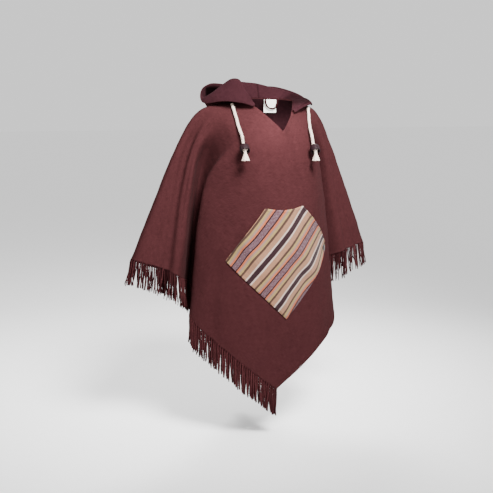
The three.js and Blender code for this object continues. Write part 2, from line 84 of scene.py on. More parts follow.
# Fold, angle on the flat cloth from the front's middle, then places at shoulder, chest and hem.
FOLDS = [
    ("front middle", 0, (0, -0.133, -0.235), (0, -0.143, -0.425), (0, -0.1, -0.893)),
    ("front half", 7.2, (0.07, -0.116, -0.19), (0.118, -0.106, -0.355), (0.15, -0.08, -0.78)),
    ("front ridge", 16.3, (0.12, -0.08, -0.13), (0.203, -0.008, -0.26), (0.248, 0.02, -0.666)),
    ("ridge flank", 20.5, (0.138, -0.05, -0.106), (0.178, 0.03, -0.235), (0.198, 0.08, -0.615)),
    ("front recess", 25.5, (0.154, -0.018, -0.082), (0.19, 0.062, -0.212), (0.205, 0.132, -0.578)),
    ("arm front", 33.9, (0.172, 0.005, -0.06), (0.232, 0.018, -0.185), (0.287, 0.015, -0.532)),
    ("arm valley", 38.4, (0.189, 0.02, -0.048), (0.252, 0.038, -0.166), (0.336, 0.032, -0.505)),
    ("arm seam", 45, (0.206, 0.042, -0.041), (0.277, 0.052, -0.158), (0.412, 0.068, -0.48)),
    ("arm back", 50, (0.2, 0.064, -0.043), (0.27, 0.088, -0.164), (0.386, 0.134, -0.494)),
    ("back valley", 56, (0.184, 0.084, -0.048), (0.238, 0.104, -0.184), (0.318, 0.104, -0.52)),
    ("back arm fold", 62, (0.16, 0.1, -0.056), (0.214, 0.138, -0.212), (0.256, 0.17, -0.545)),
    ("back recess", 69, (0.126, 0.114, -0.072), (0.168, 0.142, -0.245), (0.196, 0.142, -0.57)),
    ("back ridge", 77, (0.084, 0.124, -0.092), (0.118, 0.176, -0.29), (0.142, 0.206, -0.64)),
    ("back middle", 90, (0, 0.134, -0.122), (0, 0.184, -0.34), (0, 0.222, -0.852)),
]
# How far hem points of the left half lie from the mirrored right ones.
LEFT_HEM = {
    1: (0, 0, -0.006),
    2: (0.028, 0, -0.046),
    3: (0.012, 0, -0.006),
    4: (0, 0, 0.02),
    5: (0, 0, 0.03),
    6: (0, 0, 0.012),
    7: (0.008, 0, 0),
}
# Places run from the front's middle, 0, over the right arm's seam to the back's middle and on
# round the left arm to the front again.
LAST_FOLD = len(FOLDS) - 1
RING = 2 * LAST_FOLD
SEAM = 7
# Sideways shift of the lowest corners of the front and the back.
TIP_SHIFT = {0: -0.014, LAST_FOLD: 0.018}

# Soft waves of the cloth, as size, height and phase.
WAVES = [(0.16, 0.0014, 1.3), (0.055, 0.0006, 2.1)]

# Band of doubled cloth at the arm-top seams: metres to a place there, its half width and rise.
SEAM_PLACE = 0.08
SEAM_WIDTH = 0.0045
SEAM_RISE = 0.0007

# Turned hems: how wide they are, and how far they swell on a panel and on the pocket.
HEM_WIDTH = 0.009
PANEL_HEM = 0.0003
POCKET_HEM = 0.0007

# Creases in the cloth: the wearer's side (-1 right, +1 left), points along it as (place, down),
# depth inward, width, and how much of the depth is kept at its two ends.
CREASES = [
    (-1, [(5.9, 0.16), (6.0, 0.45), (5.8, 1.0)], 0.010, 0.015, 0, 1),
    (-1, [(5.3, 0.3), (5.4, 0.6), (5.25, 0.95)], 0.0065, 0.012, 0, 0),
    (-1, [(6.45, 0.5), (6.5, 0.75), (6.4, 1.0)], 0.003, 0.012, 0, 1),
    (-1, [(4.4, 0.3), (4.5, 0.6), (4.45, 1.0)], 0.004, 0.014, 0, 1),
    (-1, [(5.0, 0.2), (5.1, 0.33)], 0.003, 0.008, 0, 0),
    (-1, [(2.6, 0.22), (2.75, 0.5), (2.7, 0.8)], 0.003, 0.016, 0, 0),
    (-1, [(1.4, 0.62), (1.5, 0.8), (1.45, 1.0)], 0.0035, 0.02, 0, 1),
    (-1, [(0.3, 0.72), (0.5, 0.88), (0.6, 1.0)], -0.003, 0.02, 0, 1),
    (-1, [(1.8, 0.06), (1.7, 0.16), (1.9, 0.3)], 0.0022, 0.012, 0, 0),
    (-1, [(1.0, 0.1), (0.8, 0.2), (0.4, 0.3)], 0.0018, 0.014, 0, 0),
    (1, [(5.8, 0.2), (5.9, 0.5), (5.9, 1.0)], 0.006, 0.012, 0, 1),
    (1, [(5.2, 0.3), (5.1, 0.6), (5.2, 0.94)], 0.0035, 0.011, 0, 0),
    (1, [(6.4, 0.35), (6.3, 0.7), (6.45, 1.0)], 0.004, 0.012, 0, 1),
    (1, [(2.0, 0.3), (2.25, 0.55), (2.1, 0.9)], 0.003, 0.018, 0, 0),
    (1, [(1.0, 0.7), (1.3, 0.85), (1.5, 1.0)], 0.003, 0.022, 0, 1),
    (1, [(0.9, 0.05), (0.7, 0.14), (0.9, 0.26)], 0.002, 0.012, 0, 0),
    (1, [(2.3, 0.05), (2.2, 0.18), (2.5, 0.34)], 0.0028, 0.013, 0, 0),
    (-1, [(7.6, 0.2), (7.7, 0.5), (7.6, 0.95)], 0.004, 0.012, 0, 0),
    (-1, [(8.5, 0.3), (8.4, 0.7), (8.5, 1.0)], 0.005, 0.013, 0, 1),
    (-1, [(9.6, 0.12), (9.5, 0.4), (9.7, 0.7)], 0.004, 0.014, 0, 0),
    (-1, [(10.6, 0.1), (10.8, 0.35), (10.7, 0.62)], 0.005, 0.015, 0, 0),
    (-1, [(11.6, 0.3), (11.4, 0.6), (11.5, 1.0)], 0.005, 0.02, 0, 1),
    (-1, [(12.4, 0.06), (12.3, 0.22), (12.5, 0.42)], 0.004, 0.018, 0, 0),
    (1, [(7.7, 0.3), (7.6, 0.6), (7.8, 1.0)], 0.005, 0.013, 0, 1),
    (1, [(8.6, 0.15), (8.5, 0.5), (8.6, 0.8)], 0.004, 0.012, 0, 0),
    (1, [(9.4, 0.3), (9.5, 0.6), (9.4, 1.0)], 0.0045, 0.015, 0, 1),
    (1, [(10.7, 0.16), (10.6, 0.4), (10.9, 0.85)], 0.005, 0.016, 0, 0),
    (1, [(11.7, 0.5), (11.9, 0.75), (11.8, 1.0)], 0.005, 0.022, 0, 1),
    (1, [(12.2, 0.08), (12.5, 0.3), (12.3, 0.55)], 0.0035, 0.02, 0, 0),
]

# How far in places a crease is looked for on either side.
CREASE_REACH = 1.6

# Hood halves, a row for each section from the V edge round to the middle of the back:
# cut angle at the neck, roll, face edge, and how far the cloth between sags back and down.
HOOD_RIGHT = [
    (24.6, (-0.06, -0.04, -0.02), (-0.066, -0.044, -0.026), (0, 0)),
    (33, (-0.076, -0.02, 0.016), (-0.104, -0.038, -0.015), (0, -0.006)),
    (43, (-0.089, 0.004, 0.053), (-0.148, -0.008, -0.01), (0, -0.01)),
    (53, (-0.094, 0.031, 0.052), (-0.187, 0.048, -0.015), (0, -0.012)),
    (64, (-0.08, 0.051, 0.052), (-0.176, 0.094, 0.02), (0.012, 0.04)),
    (77, (-0.044, 0.061, 0.054), (-0.116, 0.138, 0.046), (0.048, 0.125)),
    (90, (0, 0.064, 0.052), (0, 0.165, 0.038), (0.072, 0.19)),
]
HOOD_LEFT = [
    (24.6, (0.076, -0.038, -0.037), (0.08, -0.042, -0.043), (0, 0)),
    (33, (0.106, -0.026, -0.021), (0.115, -0.028, -0.029), (0, -0.001)),
    (43, (0.148, -0.002, -0.008), (0.16, -0.002, -0.018), (0, -0.002)),
    (53, (0.15, 0.028, 0.002), (0.188, 0.044, -0.02), (0, -0.004)),
    (65, (0.116, 0.051, 0.021), (0.182, 0.098, 0.012), (0.012, 0.028)),
    (78, (0.056, 0.061, 0.038), (0.112, 0.14, 0.038), (0.048, 0.112)),
    (90, (0, 0.064, 0.052), (0, 0.165, 0.038), (0.072, 0.19)),
]
# How high the hood starts over the neckline, how square its bag hangs, and how much of a section
# stands up before it folds over.
HOOD_LIFT = 0.0008
BAG_SQUARENESS = 4
STAND_SHARE = 2 / 11
# Usual length of a section from neck to face edge, usual length round the back, and half the gap
# between the two halves.
HOOD_DEPTH = 0.15
HOOD_ROUND = 0.2
HOOD_GAP = 0.00015
HOOD_SEAM_WIDTH = 0.005
HOOD_SEAM_DEPTH = 0.0008

# Pocket: a square on its point, top corner cut off, as widths along the cloth and heights.
POCKET = {
    "right": (-0.19, -0.481),
    "right_top": (-0.075, -0.324),
    "left_top": (0.051, -0.321),
    "left": (0.205, -0.47),
    "bottom": (0.011, -0.666),
}
POCKET_TOP_SAG = 0.008
POCKET_OPENING = 0.009
POCKET_GAP = 0.001
TOP_TURNS = (0, 0.35, 0.65, 1)
# The corner that the stripes' two edges would meet in above the pocket's cut top.
POCKET_APEX = (-0.0214, -0.2508)
POCKET_WIDTH = 0.27

# One repeat of the stripes from the middle of the mauve band to the middle of the maroon one.
STRIPE_REPEAT = 0.121
STRIPE_START = 0.035
STRIPES = [
    (0.0, (0.078, 0.038, 0.046)),
    (0.124, (0.012, 0.005, 0.006)),
    (0.180, (0.30, 0.078, 0.036)),
    (0.262, (0.185, 0.115, 0.093)),
    (0.350, (0.23, 0.155, 0.062)),
    (0.455, (0.050, 0.026, 0.018)),
    (0.565, (0.225, 0.115, 0.068)),
    (0.800, (0.36, 0.275, 0.235)),
    (0.880, (0.018, 0.006, 0.008)),
]

# Drawcords, from under the hood's edge down the chest to their beads.
CORD_RADIUS = 0.0045
BRAID_PITCH = 0.0042
BRAID_STRANDS = 6
CORD_RIGHT = [
    (-0.119, -0.006, -0.018), (-0.120, -0.013, -0.026), (-0.121, -0.021, -0.035),
    (-0.122, -0.032, -0.049), (-0.123, -0.044, -0.064), (-0.125, -0.056, -0.079),
    (-0.126, -0.068, -0.093), (-0.127, -0.085, -0.111), (-0.128, -0.098, -0.138),
]
CORD_LEFT = [
    (0.154, 0.002, -0.029), (0.152, -0.002, -0.035), (0.148, -0.009, -0.042),
    (0.142, -0.021, -0.054), (0.135, -0.034, -0.066), (0.124, -0.055, -0.081),
    (0.113, -0.077, -0.095), (0.106, -0.098, -0.114), (0.104, -0.113, -0.143),
]
BEAD_AXIS = Vector((-0.18, -0.72, -0.67)).normalized()
# Step along the bead's axis by which the cord straightens and goes in.
CORD_IN_BEAD = 0.0066
# Bell on the cord, as radius and distance below its top.
BEAD_PROFILE = [
    (0.0048, 0), (0.0082, 0.0002), (0.0108, 0.0018), (0.0130, 0.0048), (0.0142, 0.009),
    (0.0145, 0.014), (0.0145, 0.0238), (0.0141, 0.0252), (0.0133, 0.026), (0.0121, 0.0256),
    (0.0115, 0.0245), (0.0110, 0.013), (0.0080, 0.0075), (0.0048, 0.006), (0.0048, 0),
]
# Knotted and frayed end of the cord: along the bell's axis, then how far it drops, and the radius.
KNOT = [
    (0.0074, 0, 0.0040), (0.011, 0, 0.0068), (0.016, 0, 0.0080), (0.021, 0, 0.0064),
    (0.024, 0.001, 0.0040), (0.027, 0.005, 0.0044), (0.029, 0.013, 0.0076), (0.030, 0.024, 0.0116),
]

# Neck label, and the loop that hangs in front of it.
LABEL = {"size": 0.04, "place": (0.039, 0.043, -0.024), "turn": -10}
LOOP = [
    (0.021, 0.040, -0.0025), (0.0215, 0.039, -0.014), (0.027, 0.0375, -0.026),
    (0.040, 0.036, -0.032), (0.053, 0.0355, -0.029), (0.060, 0.036, -0.016),
    (0.062, 0.037, -0.004),
]
LOOP_RADIUS = 0.0026
TAG = {"across": 0.178, "height": -0.464, "width": 0.012, "length": 0.015, "lift": 0.0058}
TAG_THICKNESS = 0.001
LABEL_THICKNESS = 0.0008
TAPE_RIB = 0.0009

# Stretches of hem with a fringe, from place to place.
FRINGES = [
    ("front_right", 0.0, SEAM - 0.02),
    ("front_left", 0.02 - SEAM, -4.3),
    ("back_left", float(LAST_FOLD), RING - SEAM - 0.02),
    ("back_right", SEAM + 0.02, 10.4),
]
# Stretches of hem without one.
PLAIN_HEMS = [(-4.2, -0.05), (10.6, 12.95)]
# How far the arm rows reach from their seams, in places, and how much longer they get inward.
ARM_REACH = 3
ARM_INWARD = 0.28
# Spacing and sway of the strands, over the arms and below the panels.
ARM_PITCH, PANEL_PITCH = 0.0048, 0.0044
ARM_SWAY, PANEL_SWAY = 0.0055, 0.0026
# Strands fall this far with the cloth before they hang straight. They start this far behind its
# face, every second one below a panel further back, and up to this far up under it.
STRAND_BEND = 0.006
STRAND_DEPTH = 0.0008
REAR_ROW = 0.003
STRAND_TUCK = 0.002
# Ends past this width of the body swing out, up to this far at the widest point.
FLARE_FROM, FLARE_RUN, FLARE = 0.3, 0.11, 0.012
STRAND_INPUTS = {"Wander": 0.011, "Flatness": 0.82, "Points": 16}

# Sewing: rows beside the arm-top seams, in places, and below the neck and above the hem, as shares
# of the way down; then the height of the thread over the body and the hood.
SEAM_ROW = 0.055
NECK_ROW = 0.018
HEM_ROW = 0.982
BODY_THREAD_LIFT = 0.0003
HOOD_THREAD_LIFT = 0.0002

# Lights as place, target, size and spread in degrees.
LIGHTS = {
    "key": ((-0.1, -1.6, 1.4), (0, -0.1, 0.02), 1, 56),
    "fill": ((-1.8, -1.6, 0.5), (0, 0, -0.2), 1.6, 180),
    "rear": ((0.9, 1.9, 1.4), (0, 0.1, -0.2), 1, 90),
}
NECK_LIGHT = {"place": (-1.36, -2.38, 0.08), "target": (0.05, 0, -0.075), "cone": 3.4,
              "size": 0.06}
FLOOR_REACH = 40

# Camera: its turn and pitch in degrees, how far it stands back, aside and up, and its lens.
CAMERA_TURN = 28
CAMERA_PITCH = 8.75
CAMERA_PLACE = (-2.75, -0.059, -0.036)
SENSOR = 36
LENS = SENSOR * 887 / 493


# ---------------------------------------------------------------------------
# Settings


class StageSettings(bpy.types.PropertyGroup):
    floor_height: FloatProperty(
        name="Floor height", description="Height of the floor below the nape",
        default=CAD_BOX[0].z - 0.06, unit="LENGTH")
    floor_colour: FloatVectorProperty(
        name="Floor colour", description="Colour of the studio floor",
        default=(0.95, 0.95, 0.95), subtype="COLOR", min=0, max=1)
    key_power: FloatProperty(
        name="Key light", description="Power of the large soft light in front",
        default=34, subtype="POWER", min=0)
    fill_power: FloatProperty(
        name="Fill light", description="Power of the soft light on the other side",
        default=3, subtype="POWER", min=0)
    rear_power: FloatProperty(
        name="Rear light", description="Power of the soft light behind",
        default=32, subtype="POWER", min=0)
    neck_power: FloatProperty(
        name="Neck light", description="Power of the narrow lamp that reaches into the neck",
        default=1700, subtype="POWER", min=0)
    sky: FloatProperty(
        name="Room light", description="Strength of the even light all round", default=1.05, min=0)


class BodySettings(bpy.types.PropertyGroup):
    thickness: FloatProperty(
        name="Cloth thickness", description="Thickness of the woven cloth",
        default=0.0016, unit="LENGTH", min=0.0008, max=0.003)
    outside: FloatVectorProperty(
        name="Outside", description="Colour of the cloth's face",
        default=(0.036, 0.0108, 0.0118), subtype="COLOR", min=0, max=1)
    # The cloth's reverse: its own slightly more purple hue, and darker than the face as painted
    # shade for its shaded side.
    inside: FloatVectorProperty(
        name="Inside", description="Colour of the cloth's back",
        default=(0.022, 0.0070, 0.0090), subtype="COLOR", min=0, max=1)
    thread: FloatProperty(
        name="Thread pitch", description="Distance from one thread of the weave to the next",
        default=0.0016, unit="LENGTH", min=0.0005, max=0.004)
    creases: FloatProperty(
        name="Crease depth", description="How deep the small creases are, as a share",
        default=1, subtype="FACTOR", min=0, max=2)


class HoodSettings(bpy.types.PropertyGroup):
    casing: FloatProperty(
        name="Casing", description="Width of the cord casing at the face edge",
        default=0.022, unit="LENGTH", min=0.01, max=0.04)
    casing_rise: FloatProperty(
        name="Casing rise", description="How far the casing stands off the hood",
        default=0.0012, unit="LENGTH", min=0, max=0.004)


class PocketSettings(bpy.types.PropertyGroup):
    thickness: FloatProperty(
        name="Pocket cloth", description="Thickness of the striped cloth",
        default=0.0014, unit="LENGTH", min=0.0008, max=0.003)
    rumple: FloatProperty(
        name="Rumple", description="How uneven the pocket lies, as a share",
        default=1, subtype="FACTOR", min=0, max=2)


class FringeSettings(bpy.types.PropertyGroup):
    panel_length: FloatProperty(
        name="Panel fringe", description="Length of the strands below the panels",
        default=0.09, unit="LENGTH", min=0.02, max=0.2)
    arm_length: FloatProperty(
        name="Arm fringe", description="Length of the strands over the arms",
        default=0.078, unit="LENGTH", min=0.02, max=0.2)
    panel_strand: FloatProperty(
        name="Panel strand", description="Thickness of a strand below the panels",
        default=0.0070, unit="LENGTH", min=0.001, max=0.01)
    arm_strand: FloatProperty(
        name="Arm strand", description="Thickness of a strand over the arms",
        default=0.0040, unit="LENGTH", min=0.001, max=0.01)
    twist: FloatProperty(
        name="Twist", description="Turns of a strand in a metre", default=55, min=0, max=200)
    seed: IntProperty(name="Seed", description="Which of the uneven fringes is made", default=4)


class CordSettings(bpy.types.PropertyGroup):
    colour: FloatVectorProperty(
        name="Cord colour", description="Colour of the braided cotton",
        default=(0.74, 0.59, 0.50), subtype="COLOR", min=0, max=1)
    bead_colour: FloatVectorProperty(
        name="Bead colour", description="Colour of the turned wood",
        default=(0.012, 0.0045, 0.006), subtype="COLOR", min=0, max=1)


class StitchSettings(bpy.types.PropertyGroup):
    length: FloatProperty(
        name="Stitch length", description="Length of one stitch",
        default=0.0032, unit="LENGTH", min=0.001, max=0.01)
    gap: FloatProperty(
        name="Stitch gap", description="Gap from one stitch to the next",
        default=0.0013, unit="LENGTH", min=0.0003, max=0.01)
    width: FloatProperty(
        name="Thread", description="Thickness of the sewing thread",
        default=0.0007, unit="LENGTH", min=0.0002, max=0.002)


# ---------------------------------------------------------------------------
# The draped surface


def hermite(a, b, start, end, s):
    """A cubic from a to b with the given slopes, at the share s of the way."""
    return (a * (2 * s**3 - 3 * s**2 + 1) + start * (s**3 - 2 * s**2 + s)
            + b * (3 * s**2 - 2 * s**3) + end * (s**3 - s**2))


def run_along(points, axis=0):
    """Distance along lines of points from their first ones."""
    steps = np.linalg.norm(np.diff(points, axis=axis), axis=-1)
    return np.insert(np.cumsum(steps, axis=axis), 0, 0, axis=axis)


def through(knots, points, at):
    """Smooth curves through points (..., knots, 3), read at the given knot values."""
    knots = np.asarray(knots, float)
    at = np.asarray(at, float)
    i = np.searchsorted(knots[1:-1], at, side="left")
    last = len(knots) - 1

    def take(n):
        spot = np.broadcast_to(n, at.shape)[..., None, None]
        return np.take_along_axis(points, spot, axis=-2)[..., 0, :]

    def slope(n):
        a, b = np.maximum(n - 1, 0), np.minimum(n + 1, last)
        return (take(b) - take(a)) / (knots[b] - knots[a])[..., None]

    span = (knots[i + 1] - knots[i])[..., None]
    s = (at - knots[i])[..., None] / span
    return hermite(take(i), take(i + 1), slope(i) * span, slope(i + 1) * span, s)


def neck_point(side, cut):
    """The neckline at an angle of the cut: the V edge up to 45 degrees, then round the nape."""
    cut = np.asarray(cut, float)
    side = np.broadcast_to(side, cut.shape)
    f = 1 - np.tan(np.radians(45 - np.minimum(cut, 45)))
    sag = np.where(side > 0, np.sin(np.pi * f), 0)
    rise = np.sin(f * np.pi / 2)
    v_edge = np.stack([
        side * (NECK_HALF_WIDTH * f + LEFT_SAG_OUT * sag),
        V_BOTTOM[1] + (NECK_SIDE_Y - V_BOTTOM[1]) * f,
        V_BOTTOM[2] + (NECK_SIDE_Z - V_BOTTOM[2]) * rise - LEFT_SAG_DOWN * sag], -1)
    turn = np.radians((np.maximum(cut, 45) - 45) * 2)
    nape = np.stack([
        side * NECK_HALF_WIDTH * np.cos(turn),
        NECK_SIDE_Y + (NAPE_Y - NECK_SIDE_Y) * np.sin(turn),
        NECK_SIDE_Z * (1 - np.sin(turn))], -1)
    return np.where((cut <= 45)[..., None], v_edge, nape)


def fold_line(place):
    """One fold's points at the neck, shoulder, chest and hem."""
    on_right = place <= LAST_FOLD
    row = FOLDS[place if on_right else RING - place]
    side = -1 if on_right else 1
    points = np.array(row[2:], float)
    if not on_right:
        points[2] += LEFT_HEM.get(RING - place, (0, 0, 0))
    points[:, 0] *= side
    points[2, 0] += TIP_SHIFT.get(place, 0)
    return np.vstack([neck_point(side, row[1])[None], points])


RING_FOLDS = np.array([fold_line(n) for n in range(RING)])


def cloth(place, down):
    """Points of the smooth cloth. place runs round from the front's middle over the right arm."""
    place, down = np.broadcast_arrays(np.asarray(place, float), np.asarray(down, float))
    base = np.floor(place).astype(int)
    lines = np.stack([RING_FOLDS[(base + k) % RING] for k in (-1, 0, 1, 2)], -3)
    points = through(LEVELS, lines, np.broadcast_to(down[..., None], down.shape + (4,)))
    s = (place - base)[..., None]
    p0, p1, p2, p3 = (points[..., k, :] for k in range(4))
    start, end = (p2 - p0) / 2, (p3 - p1) / 2
    at_start = base % LAST_FOLD == 0
    at_end = (base + 1) % LAST_FOLD == 0
    start[..., 2] = np.where(at_start, (p2 - p1)[..., 2], start[..., 2])
    end[..., 2] = np.where(at_end, (p2 - p1)[..., 2], end[..., 2])
    return hermite(p1, p2, start, end, s)


def unit(v):
    return v / np.maximum(np.linalg.norm(v, axis=-1, keepdims=True), 1e-9)


def cloth_normal(place, down):
    step = 1e-3
    place, down = np.broadcast_arrays(np.asarray(place, float), np.asarray(down, float))
    across = cloth(place + step, down) - cloth(place - step, down)
    fall = cloth(place, np.minimum(down + step, 1)) - cloth(place, np.maximum(down - step, 0))
    return unit(np.cross(across, fall))


def cut_angle(place):
    """The angle on the flat cut, from the nearer panel's middle line, left negative."""
    ring = np.mod(place, RING)
    half = np.minimum(ring, RING - ring)
    angle = np.interp(half, range(LAST_FOLD + 1), [row[1] for row in FOLDS])
    side = np.where(ring > LAST_FOLD, -1.0, 1.0)
    return side * np.where(angle > 45, 90 - angle, angle)


def flat_cut(place, down):
    """Where a point of the cloth lies on its flat square, along its two upper sides."""
    angle = cut_angle(place)
    near = np.cos(np.radians(45 - np.abs(angle)))
    radius = (NECK_CUT + (PANEL_SIDE - NECK_CUT) * down) / near
    a = radius * np.cos(np.radians(45 - angle))
    b = radius * np.cos(np.radians(45 + angle))
    return np.stack([a, b], -1)


def distance_to_line(points, line):
    """Distance to the nearest stretch of a line of points, and how far along it that is."""
    a, b = line[:-1], line[1:]
    along = b - a
    rel = points[:, None] - a[None]
    t = np.clip((rel * along).sum(-1) / (along * along).sum(-1), 0, 1)
    gap = np.linalg.norm(rel - t[..., None] * along, axis=-1)
    near = gap.argmin(1)
    pick = np.arange(len(points))
    return gap[pick, near], (near + t[pick, near]) / len(a)


def centred(place):
    """A place counted from the front's middle, between the two halves of the ring."""
    return np.mod(place + LAST_FOLD, RING) - LAST_FOLD


def crease_depth(place, points, share):
    """How far each point of the cloth is pressed in by the creases."""
    depth = np.zeros(len(points))
    for side, spots, deep, width, keep_start, keep_end in CREASES:
        spots = np.array(spots)
        along = np.linspace(0, len(spots) - 1, 26)
        places = np.interp(along, range(len(spots)), spots[:, 0]) * -side
        downs = np.interp(along, range(len(spots)), spots[:, 1])
        near = np.abs(centred(centred(place) - centred(places).mean())) < CREASE_REACH
        if not near.any():
            continue
        line = cloth(places, downs)
        gap, t = distance_to_line(points[near], line)
        r = gap / (width * (0.75 + 0.5 * t))
        ends = np.minimum(
            np.maximum(np.sin(np.pi * np.minimum(t, 0.5)), keep_start),
            np.maximum(np.sin(np.pi * np.maximum(t, 0.5)), keep_end))
        depth[near] += deep * ends * (1 - 0.9 * r**2) * np.exp(-(r**2))
    return depth * share


def ripple(points, size, height, phase):
    """A soft uneven waviness made of a few crossing waves."""
    directions = np.array([[1.0, 0.3, 0.2], [-0.4, 0.5, 0.9], [0.3, -1.0, 0.5], [0.7, 0.8, -0.6]])
    waves = [math.pow(0.72, n) * np.sin(points @ (d / size * 2 * math.pi * (1 + 0.37 * n))
                                       + phase * (n + 1)) for n, d in enumerate(directions)]
    return height * np.sum(waves, axis=0) / 2.4


def draped(place, down, share, sewn=True):
    """The creased face of the cloth and its way out. sewn adds the seams' bands, and holds the
    cloth flat at the neck."""
    points, out = cloth(place, down), cloth_normal(place, down)
    flat = points.reshape(-1, 3)
    soft = sum(ripple(flat, *wave) for wave in WAVES).reshape(place.shape)
    press = crease_depth(place.ravel(), flat, share).reshape(place.shape)
    lift = soft - press
    if sewn:
        ring = np.mod(place, RING)
        off = np.minimum(np.abs(ring - SEAM), np.abs(ring - RING + SEAM)) * SEAM_PLACE
        band = np.exp(-((off / SEAM_WIDTH) ** 4)) * SEAM_RISE
        lift = soft * np.minimum(down * 6, 1) - press + band
    return points + out * lift[..., None], out


def grid_normals(grid):
    across = np.gradient(grid, axis=0)
    fall = np.gradient(grid, axis=1)
    return unit(np.cross(across, fall))


# ---------------------------------------------------------------------------
# Meshes


def add_object(name, mesh, looks=()):
    obj = bpy.data.objects.new(name, mesh)
    bpy.context.scene.collection.objects.link(obj)
    for look in looks:
        mesh.materials.append(look)
    return obj


def make_mesh(name, vertices, faces):
    mesh = bpy.data.meshes.new(name)
    mesh.from_pydata(np.asarray(vertices).tolist(), [], [list(map(int, f)) for f in faces])
    mesh.validate()
    mesh.shade_smooth()
    return mesh


def shell(name, outer, inner, cut, looks):
    """A thin closed shell between two grids of points, its edge rounded, with the cut as UVs."""
    c, r = outer.shape[:2]
    count = c * r
    ids = np.arange(count).reshape(c, r)
    quads = np.stack([ids[:-1, :-1], ids[1:, :-1], ids[1:, 1:], ids[:-1, 1:]], -1).reshape(-1, 4)
    ring = np.concatenate([ids[:, 0], ids[-1, 1:], ids[-2::-1, -1], ids[0, -2:0:-1]])
    i, j = np.divmod(ring, r)
    within = np.clip(i, 1, c - 2) * r + np.clip(j, 1, r - 2)
    o, n = outer.reshape(-1, 3), inner.reshape(-1, 3)
    half = np.linalg.norm(o[ring] - n[ring], axis=1, keepdims=True) / 2
    away = unit((o[ring] + n[ring]) - (o[within] + n[within]))
    rim = (o[ring] + n[ring]) / 2 + away * half
    k = np.arange(len(ring))
    nxt = np.roll(k, -1)
    rim_out = np.stack([ring[nxt], ring[k], 2 * count + k, 2 * count + nxt], -1)
    rim_in = np.stack([2 * count + nxt, 2 * count + k, ring[k] + count, ring[nxt] + count], -1)
    faces = np.concatenate([quads, quads[:, ::-1] + count, rim_out, rim_in])
    vertices = np.concatenate([o, n, rim])
    a, b, d = (vertices[faces[:, m]] for m in (0, 1, 2))
    if (a * np.cross(b, d)).sum() < 0:
        faces = faces[:, ::-1]
    mesh = make_mesh(name, vertices, faces)
    flat = np.concatenate([cut.reshape(-1, 2)] * 2 + [cut.reshape(-1, 2)[ring]])
    loops = np.zeros(len(mesh.loops), int)
    mesh.loops.foreach_get("vertex_index", loops)
    uv = mesh.uv_layers.new(name="cut")
    uv.data.foreach_set("uv", flat[loops].astype(np.float32).ravel())
    kinds = np.zeros(len(faces), np.int32)
    kinds[len(quads):2 * len(quads)] = 1
    mesh.polygons.foreach_set("material_index", kinds)
    return add_object(name, mesh, looks)


def line_mesh(name, lines, **facts):
    """Lines of points as edges. facts are arrays of vectors or numbers, one for each point."""
    vertices = np.concatenate(lines)
    edges, at = [], 0
    for line in lines:
        edges += [(at + n, at + n + 1) for n in range(len(line) - 1)]
        at += len(line)
    mesh = bpy.data.meshes.new(name)
    mesh.from_pydata(vertices.tolist(), edges, [])
    for key, values in facts.items():
        values = np.concatenate(values).astype(np.float32)
        kind = "FLOAT_VECTOR" if values.ndim == 2 else "FLOAT"
        field = mesh.attributes.new(key, kind, "POINT")
        field.data.foreach_set("vector" if values.ndim == 2 else "value", values.ravel())
    return add_object(name, mesh)


def ring_quads(rings, sides):
    """Faces between neighbouring rings of points."""
    rows = ((a * sides, s, (s + 1) % sides) for a in range(rings - 1) for s in range(sides))
    return [(a + s, a + s2, a + sides + s2, a + sides + s) for a, s, s2 in rows]


def tube_mesh(name, path, radius, sides, looks, radii=None):
    """A round tube along a path with closed ends. Its UVs run along it and round it, in metres."""
    path = np.asarray(path, float)
    tangent = unit(np.gradient(path, axis=0))
    up = np.array([0.0, -1.0, 0.3])
    frames = []
    for t in tangent:
        up = unit(up - (up @ t) * t)
        frames.append((up, np.cross(t, up)))
    turn = np.linspace(0, 2 * np.pi, sides, endpoint=False)
    radii = np.full((len(path), sides), radius) if radii is None else radii
    rings = [p + r[:, None] * (np.cos(turn)[:, None] * u + np.sin(turn)[:, None] * v)
             for p, (u, v), r in zip(path, frames, radii)]
    vertices = np.concatenate(rings + [path[:1], path[-1:]])
    faces, uvs = ring_quads(len(path), sides), []
    run = run_along(path)
    girth = 2 * np.pi * radius / sides
    for near, far in zip(run, run[1:]):
        for s in range(sides):
            low, high = s * girth, (s + 1) * girth
            uvs += [(near, low), (near, high), (far, high), (far, low)]
    top, end = len(vertices) - 2, len(vertices) - 1
    last = (len(path) - 1) * sides
    for s in range(sides):
        s2 = (s + 1) % sides
        faces += [(top, s2, s), (end, last + s, last + s2)]
        uvs += [(0, 0)] * 6
    mesh = make_mesh(name, vertices, faces)
    mesh.uv_layers.new(name="cut").data.foreach_set("uv", np.array(uvs, np.float32).ravel())
    return add_object(name, mesh, looks)


def turned_mesh(name, profile, top, axis, sides, looks):
    """A turned piece: profile rows are radius and distance below the top, along the axis."""
    turn = np.linspace(0, 2 * np.pi, sides, endpoint=False)
    rows = np.array(profile, float)
    grid = np.stack([rows[:, None, 0] * np.cos(turn), rows[:, None, 0] * np.sin(turn),
                     np.repeat(rows[:, 1:2], sides, 1)], -1)
    lean = Vector((0, 0, 1)).rotation_difference(axis).to_matrix().to_4x4()
    place = Matrix.Translation(top) @ lean
    vertices = np.array([place @ Vector(p) for p in grid.reshape(-1, 3)])
    mesh = make_mesh(name, vertices, ring_quads(len(rows), sides))
    work = bmesh.new()
    work.from_mesh(mesh)
    bmesh.ops.remove_doubles(work, verts=work.verts, dist=1e-6)
    bmesh.ops.holes_fill(work, edges=work.edges, sides=0)
    bmesh.ops.recalc_face_normals(work, faces=work.faces)
    work.to_mesh(mesh)
    work.free()
    mesh.shade_smooth()
    return add_object(name, mesh, looks)


